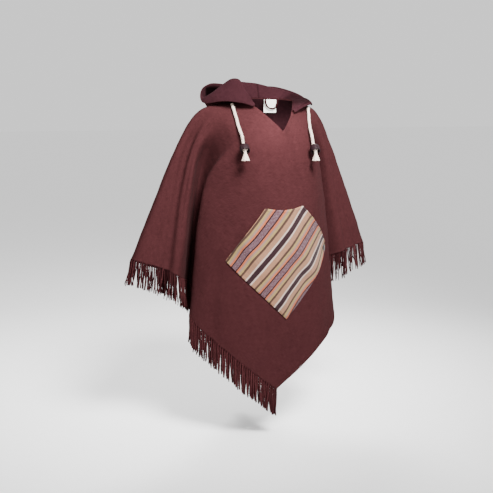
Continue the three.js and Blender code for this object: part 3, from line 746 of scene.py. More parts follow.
def smooth_path(points, step):
    """Evenly spaced points on a smooth curve through the route."""
    points = np.array([tuple(p) for p in points], float)
    knots = run_along(points)
    fine = np.linspace(0, knots[-1], 400)
    curve = through(knots, np.broadcast_to(points, (len(fine),) + points.shape), fine)
    run = run_along(curve)
    count = max(int(run[-1] / step), 8)
    goal = np.linspace(0, run[-1], count + 1)
    return np.stack([np.interp(goal, run, curve[:, a]) for a in range(3)], -1)


# ---------------------------------------------------------------------------
# Geometry Nodes for what repeats


class Graph:
    """A geometry tree that is built a node at a time."""

    def __init__(self, name, inputs):
        self.tree = bpy.data.node_groups.new(name, "GeometryNodeTree")
        face = self.tree.interface
        face.new_socket("Geometry", in_out="INPUT", socket_type="NodeSocketGeometry")
        face.new_socket("Geometry", in_out="OUTPUT", socket_type="NodeSocketGeometry")
        self.keys = {}
        for label, kind, value in inputs:
            socket = face.new_socket(label, in_out="INPUT", socket_type=kind)
            if value is not None:
                socket.default_value = value
            self.keys[label] = socket.identifier
        self.start = self.tree.nodes.new("NodeGroupInput")
        self.end = self.tree.nodes.new("NodeGroupOutput")

    def given(self, label):
        return self.start.outputs[label]

    def add(self, kind, sockets=None, out=0, **settings):
        node = self.tree.nodes.new(kind)
        for key, value in settings.items():
            setattr(node, key, value)
        for key, value in (sockets or {}).items():
            socket = node.inputs[key]
            if isinstance(value, bpy.types.NodeSocket):
                self.tree.links.new(value, socket)
            else:
                socket.default_value = value
        return node.outputs[out]

    def math(self, operation, a, b=0.0):
        return self.add("ShaderNodeMath", {0: a, 1: b}, operation=operation)

    def field(self, name, kind):
        return self.add("GeometryNodeInputNamedAttribute", {"Name": name}, data_type=kind)

    def finish(self, geometry, material):
        real = self.add("GeometryNodeRealizeInstances", {0: geometry})
        shaded = self.add("GeometryNodeSetShadeSmooth", {0: real})
        painted = self.add("GeometryNodeSetMaterial", {0: shaded, "Material": material})
        self.tree.links.new(painted, self.end.inputs[0])


def applied(obj, graph, values, name):
    """Runs the tree on the object and leaves its result as a plain mesh."""
    modifier = obj.modifiers.new("Make", "NODES")
    modifier.node_group = graph.tree
    for label, value in values.items():
        modifier[graph.keys[label]] = value
    obj.update_tag()
    evaluated = obj.evaluated_get(bpy.context.evaluated_depsgraph_get())
    mesh = bpy.data.meshes.new_from_object(evaluated)
    mesh.name = name
    obj.modifiers.clear()
    obj.data = mesh
    obj.name = name
    if not mesh.polygons:
        raise RuntimeError(f"{name} came out empty")


def strand_graph():
    """Twisted strands along short lines, each with its own thickness, sway and phase."""
    g = Graph("Strands", [
        ("Twist", "NodeSocketFloat", 55.0), ("Wander", "NodeSocketFloat", 0.004),
        ("Flatness", "NodeSocketFloat", 0.6), ("Points", "NodeSocketInt", 16),
        ("Material", "NodeSocketMaterial", None)])
    lines = g.add("GeometryNodeMeshToCurve", {0: g.given("Geometry")})
    lines = g.add("GeometryNodeResampleCurve", {0: lines, "Count": g.given("Points")})
    factor = g.add("GeometryNodeSplineParameter", out="Factor")
    run = g.add("GeometryNodeSplineParameter", out="Length")
    sway = g.field("sway", "FLOAT_VECTOR")
    loose = g.math("POWER", factor, 1.6)
    place = g.add("GeometryNodeInputPosition")
    own = g.math("MULTIPLY", g.field("phase", "FLOAT"), 9.0)
    apart = g.add("ShaderNodeCombineXYZ", {"X": own, "Y": own, "Z": 0.0})
    place = g.add("ShaderNodeVectorMath", {0: place, 1: apart})
    wobble = g.add("ShaderNodeTexNoise", {"Vector": place, "Scale": 27.0, "Detail": 1.5},
                   out="Color")
    centred = g.add("ShaderNodeVectorMath", {0: wobble, 1: (0.5, 0.5, 0.5)}, operation="SUBTRACT")
    amount = g.math("MULTIPLY", factor, g.given("Wander"))
    drift = g.add("ShaderNodeVectorMath", {0: centred, "Scale": amount}, operation="SCALE")
    swung = g.add("ShaderNodeVectorMath", {0: sway, "Scale": loose}, operation="SCALE")
    offset = g.add("ShaderNodeVectorMath", {0: drift, 1: swung})
    lines = g.add("GeometryNodeSetPosition", {0: lines, "Offset": offset})
    tip = g.math("POWER", factor, 9.0)
    taper = g.math("SUBTRACT", 1.0, g.math("MULTIPLY", tip, 0.3))
    radius = g.math("MULTIPLY", g.field("thick", "FLOAT"), taper)
    lines = g.add("GeometryNodeSetCurveRadius", {0: lines, "Radius": radius})
    turns = g.math("MULTIPLY", run, g.given("Twist"))
    turned = g.math("ADD", turns, g.field("phase", "FLOAT"))
    tilt = g.math("MULTIPLY", turned, 2 * math.pi)
    lines = g.add("GeometryNodeSetCurveTilt", {0: lines, "Tilt": tilt})
    ring = g.add("GeometryNodeCurvePrimitiveCircle", {"Resolution": 8, "Radius": 1.0},
                 out="Curve")
    squash = g.add("ShaderNodeCombineXYZ", {"X": 1.0, "Y": g.given("Flatness"), "Z": 1.0})
    ring = g.add("GeometryNodeTransform", {0: ring, "Scale": squash})
    solid = g.add("GeometryNodeCurveToMesh", {0: lines, "Profile Curve": ring, "Fill Caps": True,
                                              "Scale": g.add("GeometryNodeInputRadius")})
    g.finish(solid, g.given("Material"))
    return g


def stitch_graph():
    """A running stitch along lines that carry the cloth's way up."""
    g = Graph("Stitches", [
        ("Length", "NodeSocketFloat", 0.0032), ("Gap", "NodeSocketFloat", 0.0013),
        ("Thread", "NodeSocketFloat", 0.0007), ("Material", "NodeSocketMaterial", None)])
    lines = g.add("GeometryNodeMeshToCurve", {0: g.given("Geometry")})
    pitch = g.math("ADD", g.given("Length"), g.given("Gap"))
    lines = g.add("GeometryNodeResampleCurve", {0: lines, "Length": pitch}, mode="LENGTH")
    stitch = g.add("GeometryNodeMeshUVSphere", {"Segments": 6, "Rings": 5, "Radius": 0.5},
                   out="Mesh")
    tangent = g.add("GeometryNodeInputTangent")
    turn = g.add("FunctionNodeAxesToRotation",
                 {"Primary Axis": g.field("up", "FLOAT_VECTOR"), "Secondary Axis": tangent},
                 primary_axis="Z", secondary_axis="X")
    size = g.add("ShaderNodeCombineXYZ",
                 {"X": g.given("Length"), "Y": g.given("Thread"), "Z": g.given("Thread")})
    run = g.add("GeometryNodeInstanceOnPoints",
                {0: lines, "Instance": stitch, "Rotation": turn, "Scale": size})
    g.finish(run, g.given("Material"))
    return g


# ---------------------------------------------------------------------------
# Looks


class Reading:
    """A number in a shader tree. Sums and products of readings add Math nodes."""

    def __init__(self, look, socket):
        self.look = look
        self.socket = socket

    def __add__(self, other):
        return self.look.math("ADD", self, other)

    __radd__ = __add__

    def __sub__(self, other):
        return self.look.math("SUBTRACT", self, other)

    def __rsub__(self, other):
        return self.look.math("SUBTRACT", other, self)

    def __mul__(self, other):
        return self.look.math("MULTIPLY", self, other)

    __rmul__ = __mul__

    def __truediv__(self, other):
        return self.look.math("DIVIDE", self, other)


class Look:
    """A material and the nodes that make it."""

    def __init__(self, name, surface):
        self.material = bpy.data.materials.new(name)
        self.material.use_nodes = True
        self.tree = self.material.node_tree
        self.shader = self.tree.nodes["Principled BSDF"]
        for key, value in surface.items():
            self.shader.inputs[key].default_value = value

    def add(self, kind, sockets=None, out=0, **settings):
        """Adds a node with its settings, then its sockets' values or links, and reads an output."""
        node = self.tree.nodes.new(kind)
        stops = settings.pop("stops", None)
        steps = settings.pop("steps", False)
        for key, value in settings.items():
            setattr(node, key, value)
        if stops:
            ramp = node.color_ramp
            ramp.interpolation = "CONSTANT" if steps else "LINEAR"
            while len(ramp.elements) < len(stops):
                ramp.elements.new(1.0)
            for element, (place, colour) in zip(ramp.elements, stops):
                element.position = place
                element.color = (*colour, 1)
        for key, value in (sockets or {}).items():
            if isinstance(value, Reading):
                self.tree.links.new(value.socket, node.inputs[key])
            else:
                node.inputs[key].default_value = value
        return Reading(self, node.outputs[out])

    def math(self, operation, a, b=0.0):
        return self.add("ShaderNodeMath", {0: a, 1: b}, operation=operation)

    def sin(self, value):
        return self.math("SINE", value)

    def split(self, vector):
        first = self.add("ShaderNodeSeparateXYZ", {0: vector})
        return [Reading(self, socket) for socket in first.socket.node.outputs]

    def join(self, x, y, z=0.0):
        return self.add("ShaderNodeCombineXYZ", {0: x, 1: y, 2: z})

    def flat(self):
        return self.add("ShaderNodeUVMap", uv_map="cut")

    def spot(self):
        return self.add("ShaderNodeTexCoord", out="Object")

    def noise(self, vector, scale, detail=2.0, roughness=0.5):
        return self.add("ShaderNodeTexNoise", {"Vector": vector, "Scale": scale, "Detail": detail,
                                               "Roughness": roughness})

    def clamp(self, value, low, high):
        return self.add("ShaderNodeMapRange", {"Value": value, "From Min": low, "From Max": high},
                        interpolation_type="SMOOTHSTEP")

    def mix(self, factor, a, b):
        a, b = ((*c, 1) if isinstance(c, (tuple, list)) else c for c in (a, b))
        return self.add("ShaderNodeMix", {0: factor, 6: a, 7: b}, out=2,
                        data_type="RGBA")

    def shade(self, colour, amount):
        """The colour made lighter or darker by a number about one."""
        grey = self.join(amount, amount, amount)
        return self.add("ShaderNodeVectorMath", {0: colour, 1: grey}, operation="MULTIPLY")

    def bump(self, height, distance, strength=1.0):
        return self.add("ShaderNodeBump", {"Height": height, "Distance": distance,
                                           "Strength": strength})

    def finish(self, colour=None, roughness=None, normal=None):
        for key, value in (("Base Color", colour), ("Roughness", roughness), ("Normal", normal)):
            if value is not None:
                self.tree.links.new(value.socket, self.shader.inputs[key])
        return self.material


def scaled(colour, by):
    return tuple(c * by for c in colour)


def weave(look, x, y, pitch):
    """Height of a plain weave, from 0 to 1, with threads that wander a little."""
    drift = look.noise(look.join(x, y), 260.0, 1.0)
    u = (x + (drift - 0.5) * (0.5 * pitch)) * (math.pi / pitch)
    v = (y + (0.5 - drift) * (0.5 * pitch)) * (math.pi / pitch)
    su, sv = look.sin(u), look.sin(v)
    over = su * sv * 0.5 + 0.5
    return su * su * over + sv * sv * (1.0 - over)


def cotton(name, colour, pitch):
    """Matt plain-woven cotton: slubs, a slight heather, a soft nap, painted shade in the weave's
    gaps, and painted shade where a mesh marks its shaded hollows.
    """
    look = Look(name, {"Roughness": 0.95, "IOR": 1.02, "Sheen Weight": 0.006,
                       "Sheen Roughness": 0.4, "Sheen Tint": (1, 0.8, 0.8, 1)})
    x, y, _ = look.split(look.flat())
    thread = weave(look, x, y, pitch)
    warp = look.noise(look.join(x * 70.0, y * 900.0), 1.0, 2.0)
    weft = look.noise(look.join(x * 900.0, y * 70.0), 1.0, 2.0)
    cloud = look.noise(look.spot(), 9.0, 3.0, 0.6)
    fleck = look.noise(look.spot(), 260.0, 3.0, 0.7)
    dark = scaled(colour, 0.74)
    light = (colour[0] * 1.22, colour[1] * 1.28, colour[2] * 1.28)
    streak = look.clamp(warp * 0.5 + weft * 0.5, 0.34, 0.66)
    base = look.mix(streak, dark, light)
    # Painted shade of the weave: lighter on the raised threads, darker in the gaps between them.
    base = look.shade(base, 0.84 + (thread * 0.22))
    base = look.shade(base, 0.82 + cloud * 0.18 + fleck * 0.18)
    # Painted shade: darkens the colour where the mesh marks a shaded hollow, as on the hood's inner
    # face.
    depth = look.add("ShaderNodeAttribute", out=2, attribute_name="hollow")
    base = look.shade(base, 1.0 - depth * 0.93)
    height = thread * 0.7 + warp * 0.2 + fleck * 0.3
    return look.finish(base, None, look.bump(height, 0.0004, 0.7))


def striped_cotton(name, pitch):
    """Striped cotton. Its UVs run across and along the stripes."""
    look = Look(name, {"Roughness": 0.9, "Specular IOR Level": 0.15, "Sheen Weight": 0.06,
                       "Sheen Roughness": 0.5})
    x, y, _ = look.split(look.flat())
    thread = weave(look, x, y, pitch)
    fuzz = look.noise(look.join(x * 900.0, y * 260.0), 1.0, 1.0)
    across = x + (fuzz - 0.5) * 0.0012
    phase = look.math("FRACT", (across - STRIPE_START) / STRIPE_REPEAT + 0.5)
    place = look.math("ABSOLUTE", phase - 0.5) * 2.0
    base = look.add("ShaderNodeValToRGB", {0: place}, stops=STRIPES, steps=True)
    flecks = look.noise(look.join(x * 700.0, y * 160.0), 1.0, 1.0)
    pale = look.clamp(flecks, 0.5, 0.62) * look.math("LESS_THAN", place, 0.124) * 0.5
    base = look.mix(pale, base, (0.20, 0.135, 0.150))
    lines = look.noise(look.join(x * 560.0, y * 12.0), 1.0, 1.0)
    # Random streaks of the yarn, and painted shade of the weave: darker in the gaps between
    # threads.
    base = look.shade(base, 0.66 + lines * 0.34 + thread * 0.24)
    weft = look.noise(look.join(x * 20.0, y * 700.0), 1.0, 2.0)
    base = look.shade(base, 0.74 + weft * 0.52)
    return look.finish(base, None, look.bump(thread * 0.8 + weft * 0.4, 0.0005, 0.8))


def strand_cotton(name, colour):
    """Loose twisted yarn."""
    look = Look(name, {"Roughness": 0.95, "IOR": 1.02})
    x, y, z = look.split(look.spot())
    fibre = look.noise(look.join(x * 900.0, y * 900.0, z * 260.0), 1.0, 2.0)
    tone = look.noise(look.spot(), 60.0, 2.0)
    base = look.mix(look.clamp(fibre, 0.3, 0.7), scaled(colour, 0.66), scaled(colour, 1.4))
    # Each strand's phase also sets its tone: random over the arms; below the panels the rear row
    # gets low phases, painted shade behind the front row.
    own = look.add("ShaderNodeAttribute", out=2, attribute_name="phase")
    base = look.shade(base, (0.72 + tone * 0.5) * (0.42 + own * 1.05))
    return look.finish(base, None, look.bump(fibre, 0.0005, 0.8))


def braided_cotton(name, colour):
    """Braided cord: crossing strands along and round it."""
    look = Look(name, {"Roughness": 0.85, "Specular IOR Level": 0.2, "Sheen Weight": 0.1})
    x, y, _ = look.split(look.flat())
    strand = 2 * math.pi * CORD_RADIUS / BRAID_STRANDS
    sa = look.sin((x / BRAID_PITCH + y / strand) * math.pi)
    sb = look.sin((x / BRAID_PITCH - y / strand) * math.pi)
    over = look.clamp(look.sin(x * (math.pi / BRAID_PITCH)) * look.sin(y * (math.pi / strand)),
                      -0.3, 0.3)
    braid = sa * sa * over + sb * sb * (1.0 - over)
    fibre = look.noise(look.join(x * 1200.0, y * 700.0), 1.0, 2.0)
    # Painted shade of the braid: darker where a strand dips under another, lighter on top.
    base = look.mix(braid, scaled(colour, 0.7), scaled(colour, 1.08))
    base = look.shade(base, 0.86 + fibre * 0.26)
    return look.finish(base, None, look.bump(braid + fibre * 0.25, 0.0009, 1.0))


def soft_tape(name, colour):
    """Smooth narrow woven tape."""
    look = Look(name, {"Roughness": 0.6, "Sheen Weight": 0.1})
    height = look.split(look.spot())[2]
    rib = look.sin(height * (2 * math.pi / TAPE_RIB)) * 0.5 + 0.5
    fibre = look.noise(look.spot(), 900.0, 2.0)
    base = look.mix(fibre, scaled(colour, 0.8), colour)
    # Painted shade between the tape's ribs.
    base = look.shade(base, 0.9 + rib * 0.1)
    return look.finish(base, None, look.bump(rib + fibre, 0.0002, 0.6))


def turned_wood(name, colour):
    """Dark stained wood with a waxed shine."""
    look = Look(name, {"Roughness": 0.6, "Specular IOR Level": 0.12})
    x, y, z = look.split(look.spot())
    grain = look.noise(look.join(x * 420.0, y * 420.0, z * 60.0), 1.0, 3.0)
    base = look.mix(look.clamp(grain, 0.35, 0.7), scaled(colour, 0.45), scaled(colour, 1.8))
    return look.finish(base, grain * 0.2 + 0.45, look.bump(grain, 0.0002, 0.5))


def shared_look(name, make, *values):
    """The material of that name, made the first time it is asked for."""
    return bpy.data.materials.get(name) or make(name, *values)


def cloth_looks(scene):
    body = scene.poncho_body
    return [shared_look("Poncho cloth face", cotton, tuple(body.outside), body.thread),
            # The back's colour is partly its own hue and partly painted shade.
            shared_look("Poncho cloth back", cotton, tuple(body.inside), body.thread)]


def thread_look(scene):
    return shared_look("Sewing thread", strand_cotton, scaled(scene.poncho_body.outside, 1.25))


def yarn_look(scene):
    return shared_look("Fringe yarn", strand_cotton, tuple(scene.poncho_body.outside))


# ---------------------------------------------------------------------------
# Pieces


def body_places(first, last):
    """Places round the ring, finer near the seams and in the sharp folds."""
    fine = np.linspace(first, last, int((last - first) * 13) + 1)
    near = [0.03, 0.06, 0.1, 0.15]
    extra = [first + n for n in near] + [last - n for n in near]
    return np.unique(np.round(np.concatenate([fine, extra]), 5))


def body_downs():
    return np.unique(np.round(np.concatenate([
        np.linspace(0, 1, 105), [0.004, 0.012, 0.985, 0.992, 0.996]]), 5))


def body_panel(scene, name, first, last, replaced):
    body = scene.poncho_body
    # One more column each side, so that the normals at the seam match the other panel's.
    wide = np.concatenate([[first - 0.05], body_places(first, last), [last + 0.05]])
    places, downs = np.meshgrid(wide, body_downs(), indexing="ij")
    grid, _ = draped(places, downs, body.creases)
    out = grid_normals(grid)[1:-1]
    grid, places, downs = grid[1:-1], places[1:-1], downs[1:-1]
    edge = np.exp(-((1 - downs) * PANEL_SIDE / HEM_WIDTH) ** 4) * PANEL_HEM
    outer = grid + out * edge[..., None]
    inner = grid - out * (body.thickness + edge)[..., None]
    obj = shell(name, outer, inner, flat_cut(places, downs), cloth_looks(scene))
    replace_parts(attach(obj, "root"), replaced)


def hood_fields(rows):
    cut = np.array([[row[0], 0, 0] for row in rows], float)
    roll = np.array([row[1] for row in rows], float)
    edge = np.array([row[2] for row in rows], float)
    bag = np.array([[0, row[3][0], -row[3][1]] for row in rows], float)
    return cut, roll, edge, bag


def hood_surface(rows, side, around, over):
    """Points of a hood half, around from the V edge to the middle, over from the neck to the
    face edge."""
    at = around * (len(rows) - 1)
    knots = np.arange(len(rows))
    cut, roll, edge, bag = (
        through(knots, np.broadcast_to(f, at.shape + f.shape), at) for f in hood_fields(rows))
    seam = neck_point(side, np.minimum(cut[..., 0], 90)) + np.array([0, 0, HOOD_LIFT])
    rising = over <= STAND_SHARE
    t = (over / STAND_SHARE)[..., None]
    w = np.clip((over - STAND_SHARE) / (1 - STAND_SHARE), 0, 1)
    deep = (1 - np.abs(2 * w - 1) ** BAG_SQUARENESS)[..., None]
    w = w[..., None]
    stand = seam * (1 - t) + roll * t
    fall = roll * (1 - w) + edge * w + bag * deep
    return np.where(rising[..., None], stand, fall)


def rise(value, low, high):
    """Goes smoothly from 0 at the low value to 1 at the high one."""
    t = np.clip((value - low) / (high - low), 0, 1)
    return t * t * (3 - 2 * t)


def eased(grid, times):
    """Rounds the roll of the hood by averaging neighbours along each section."""
    for _ in range(times):
        middle = (grid[:, :-2] + 2 * grid[:, 1:-1] + grid[:, 2:]) / 4
        grid = np.concatenate([grid[:, :1], middle, grid[:, -1:]], 1)
    return grid


def hood_painted_shade(a, o, side):
    """Painted shade on the hood's inner face: under its fold and within its left wing, where shade
    falls, and darker bands along its seams.
    """
    if side < 0:
        under = rise(a, 0.745, 0.77) * (1 - rise(a, 0.87, 0.9))
        return under * rise(o, 0.92, 0.96) * (1 - rise(o, 0.989, 0.995))
    wing = (1 - rise(a, 0.6, 0.7)) * rise(a, 0.1, 0.3) * (1 - rise(o, 0.5, 0.8))
    seam = np.exp(-((a - 0.695) / 0.009) ** 2) * (1 - rise(o, 0.14, 0.2))
    middle = rise(a, 0.975, 0.99) * (1 - rise(o, 0.2, 0.3))
    return np.maximum(wing * 0.62, np.maximum(seam, middle) * 0.4)


def hood_half(scene, name, rows, side, replaced):
    body, hood = scene.poncho_body, scene.poncho_hood
    around = np.linspace(0, 1, 71)
    over = np.unique(np.concatenate([np.linspace(0, 1, 84), np.linspace(0.955, 0.996, 9)]))
    a, o = np.meshgrid(around, over, indexing="ij")
    grid = eased(hood_surface(rows, side, a, o), 3)
    out = grid_normals(grid) * side
    flat = grid.reshape(-1, 3)
    soft = ripple(flat, 0.07, 0.0016, 0.7).reshape(a.shape) * np.minimum(o * 5, 1)
    soft = soft * np.minimum((1 - a) * 8, 1)
    swell = np.clip(1 - (1 - o) * HOOD_DEPTH / hood.casing, 0, 1)
    casing = hood.casing_rise * np.sqrt(np.clip(np.sin(np.pi * swell), 0, 1))
    seam = np.exp(-((1 - a) * HOOD_ROUND / HOOD_SEAM_WIDTH) ** 2) * HOOD_SEAM_DEPTH
    grid = grid + out * soft[..., None]
    grid[-1, :, 0] = side * HOOD_GAP
    outer = grid + out * (casing - seam)[..., None]
    inner = grid - out * (body.thickness + casing * 0.5)[..., None]
    outer[-1, :, 0] = inner[-1, :, 0] = side * HOOD_GAP
    cut = np.stack([run_along(grid, 0), run_along(grid, 1)], -1)
    obj = shell(name, outer, inner, cut, cloth_looks(scene))
    # Painted shade: the hood's inner face carries how dark it is painted, which the cloth's colour
    # reads.
    field = obj.data.attributes.new("hollow", "FLOAT", "POINT")
    values = np.zeros(len(obj.data.vertices), np.float32)
    values[a.size:2 * a.size] = hood_painted_shade(a, o, side).ravel()
    field.data.foreach_set("value", values)
    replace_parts(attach(obj, "root"), replaced)
    return obj, outer, out


def sheet_area(grid):
    a = np.cross(grid[1:, :-1] - grid[:-1, :-1], grid[:-1, 1:] - grid[:-1, :-1])
    b = np.cross(grid[1:, :-1] - grid[1:, 1:], grid[:-1, 1:] - grid[1:, 1:])
    return (np.linalg.norm(a, axis=-1).sum() + np.linalg.norm(b, axis=-1).sum()) / 2


# Widths along the front at a height, found by walking out from the middle.
WALK_PLACES = np.linspace(-3.5, 3.5, 281)
WALK_DOWNS = np.linspace(0, 1, 201)
WALK_GRID = cloth(WALK_PLACES[:, None], WALK_DOWNS[None])


def front_spots(across, height):
    """The place and down of points of the front given by width along the cloth and height."""
    across, height = np.broadcast_arrays(across, height)
    levels = np.linspace(height.min(), height.max(), 90)
    middle = len(WALK_PLACES) // 2
    runs, drops = [], []
    for z in levels:
        down = np.array([np.interp(-z, -row[:, 2], WALK_DOWNS) for row in WALK_GRID])
        where = np.stack([[np.interp(at, WALK_DOWNS, row[:, c]) for c in range(3)]
                          for at, row in zip(down, WALK_GRID)])
        run = run_along(where)
        runs.append(run - run[middle])
        drops.append(down)
    spots = np.zeros(across.shape + (2,))
    for at in np.ndindex(across.shape):
        level = (height[at] - levels[0]) / (levels[1] - levels[0])
        n = min(int(level), len(levels) - 2)
        for k, share in ((n, 1 - level + n), (n + 1, level - n)):
            place = np.interp(-across[at], runs[k], WALK_PLACES)
            spots[at] += share * np.array([place, np.interp(place, WALK_PLACES, drops[k])])
    return spots[..., 0], spots[..., 1]


class PONCHO_OT_stage(bpy.types.Operator):
    """Sets up the floor, the lights and the camera"""

    bl_idname = "poncho.stage"
    bl_label = "Stage"

    def execute(self, context):
        scene, stage = context.scene, context.scene.poncho_stage
        corners = [(x * FLOOR_REACH, y * FLOOR_REACH, stage.floor_height)
                   for x, y in ((-1, -1), (1, -1), (1, 1), (-1, 1))]
        floor = make_mesh("floor", corners, [(0, 1, 2, 3)])
        look = Look("Floor", {"Roughness": 0.9})
        grain = look.noise(look.spot(), 40.0)
        look.finish(look.shade(look.mix(0.0, tuple(stage.floor_colour), (1, 1, 1)),
                               0.985 + grain * 0.03))
        add_object("floor", floor, [look.material])
        for name, (place, target, size, spread) in LIGHTS.items():
            data = bpy.data.lights.new(name, "AREA")
            data.shape = "DISK"
            data.size = size
            data.spread = math.radians(spread)
            self.hang(name, data, place, target, getattr(stage, f"{name}_power"))
        self.neck_light(stage.neck_power)
        world = scene.world or bpy.data.worlds.new("Studio")
        scene.world = world
        world.use_nodes = True
        backdrop = world.node_tree.nodes["Background"]
        backdrop.inputs["Color"].default_value = (1, 1, 1, 1)
        backdrop.inputs["Strength"].default_value = stage.sky
        camera = bpy.data.cameras.new("camera")
        camera.sensor_width = SENSOR
        camera.lens = LENS
        camera.clip_end = 60
        eye = bpy.data.objects.new("camera", camera)
        scene.collection.objects.link(eye)
        turn, pitch = math.radians(CAMERA_TURN), math.radians(CAMERA_PITCH)
        forward = Vector((math.sin(turn), math.cos(turn), 0))
        aside = Vector((math.cos(turn), -math.sin(turn), 0))
        along, across, up = CAMERA_PLACE
        eye.location = forward * along + aside * across + Vector((0, 0, up))
        look_along = forward * math.cos(pitch) - Vector((0, 0, math.sin(pitch)))
        eye.rotation_euler = look_along.to_track_quat("-Z", "Y").to_euler()
        scene.camera = eye
        return {"FINISHED"}

    def neck_light(self, power):
        """A narrow lamp beside the camera that reaches into the open neck."""
        data = bpy.data.lights.new("neck", "SPOT")
        data.spot_size = math.radians(NECK_LIGHT["cone"])
        data.spot_blend = 1
        data.shadow_soft_size = NECK_LIGHT["size"]
        self.hang("neck", data, NECK_LIGHT["place"], NECK_LIGHT["target"], power)

    def hang(self, name, data, place, target, power):
        data.energy = power
        obj = bpy.data.objects.new(name, data)
        bpy.context.scene.collection.objects.link(obj)
        obj.location = place
        obj.rotation_euler = (Vector(target) - Vector(place)).to_track_quat("-Z", "Y").to_euler()


class PONCHO_OT_cords(bpy.types.Operator):
    """Makes the two drawcords with their beads and knotted ends"""

    bl_idname = "poncho.cords"
    bl_label = "Drawcords"

    def execute(self, context):
        settings = context.scene.poncho_cords
        cotton_look = shared_look("Drawcord", braided_cotton, tuple(settings.colour))
        wood = shared_look("Bead wood", turned_wood, tuple(settings.bead_colour))
        for side, route in (("right", CORD_RIGHT), ("left", CORD_LEFT)):
            top = Vector(route[-1])
            straight = [top + BEAD_AXIS * CORD_IN_BEAD * n for n in (-2, -1, 0, 1)]
            path = smooth_path([*route[:-1], *straight], 0.0012)
            cord = tube_mesh(f"cord_{side}", path, CORD_RADIUS, 16, [cotton_look])
            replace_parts(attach(cord, "root"), f"drawcord_{side}")
            bead = turned_mesh(f"wood_bead_{side}", BEAD_PROFILE, top, BEAD_AXIS, 40, [wood])
            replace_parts(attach(bead, "root"), f"bead_{side}")
            knot = self.knot(side, top, cotton_look)
        return {"FINISHED"}

    def knot(self, side, top, look):
        """A lumpy knot with a flared, frayed tail that hangs over the bell's lower edge."""
        rows = np.array(KNOT)
        steps, sides = 44, 40
        along = np.linspace(0, len(rows) - 1, steps)
        rows = through(np.arange(len(rows)), np.broadcast_to(rows, (steps,) + rows.shape), along)
        path = np.array(top) + rows[:, :1] * np.array(BEAD_AXIS) - rows[:, 1:2] * [0, 0, 1]
        turn = np.linspace(0, 2 * np.pi, sides, endpoint=False)
        tail = np.clip((along - 4) / 3, 0, 1)[:, None]
        lump = 0.10 * np.sin(3 * turn + 1.8 * along[:, None]) * (1 - tail)
        frill = 0.09 * np.sin(9 * turn + 0.8 * np.sin(3 * turn)) * tail
        radii = rows[:, 2:] * (1 + lump + frill)
        knot = tube_mesh(f"knot_{side}", path, CORD_RADIUS, sides, [look], radii)
        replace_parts(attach(knot, "root"), f"cord_end_{side}")
        return knot


class PONCHO_OT_body(bpy.types.Operator):
    """Makes the front and the back of the poncho"""

    bl_idname = "poncho.body"
    bl_label = "Front and back"

    def execute(self, context):
        body_panel(context.scene, "front_panel", -SEAM, SEAM, "front")
        body_panel(context.scene, "back_panel", SEAM, RING - SEAM, "back")
        return {"FINISHED"}


class PONCHO_OT_hood(bpy.types.Operator):
    """Makes the two halves of the hood, with the casing at its face edge"""

    bl_idname = "poncho.hood"
    bl_label = "Hood"

    def execute(self, context):
        scene, sewn = context.scene, []
        for name, rows, side in (("right", HOOD_RIGHT, -1), ("left", HOOD_LEFT, 1)):
            obj, outer, out = hood_half(scene, f"hood_{name}_half", rows, side, f"hood_{name}")
            area = sheet_area(outer)
            casing = round((outer.shape[1] - 1) * (1 - scene.poncho_hood.casing / HOOD_DEPTH))
            for at in (np.s_[2:-1, casing], np.s_[2:-1, 3], np.s_[-4, 2:-2]):
                sewn.append((outer[at] + out[at] * HOOD_THREAD_LIFT, out[at]))
        stitch_lines(scene, "hood_stitches", sewn)
        return {"FINISHED"}


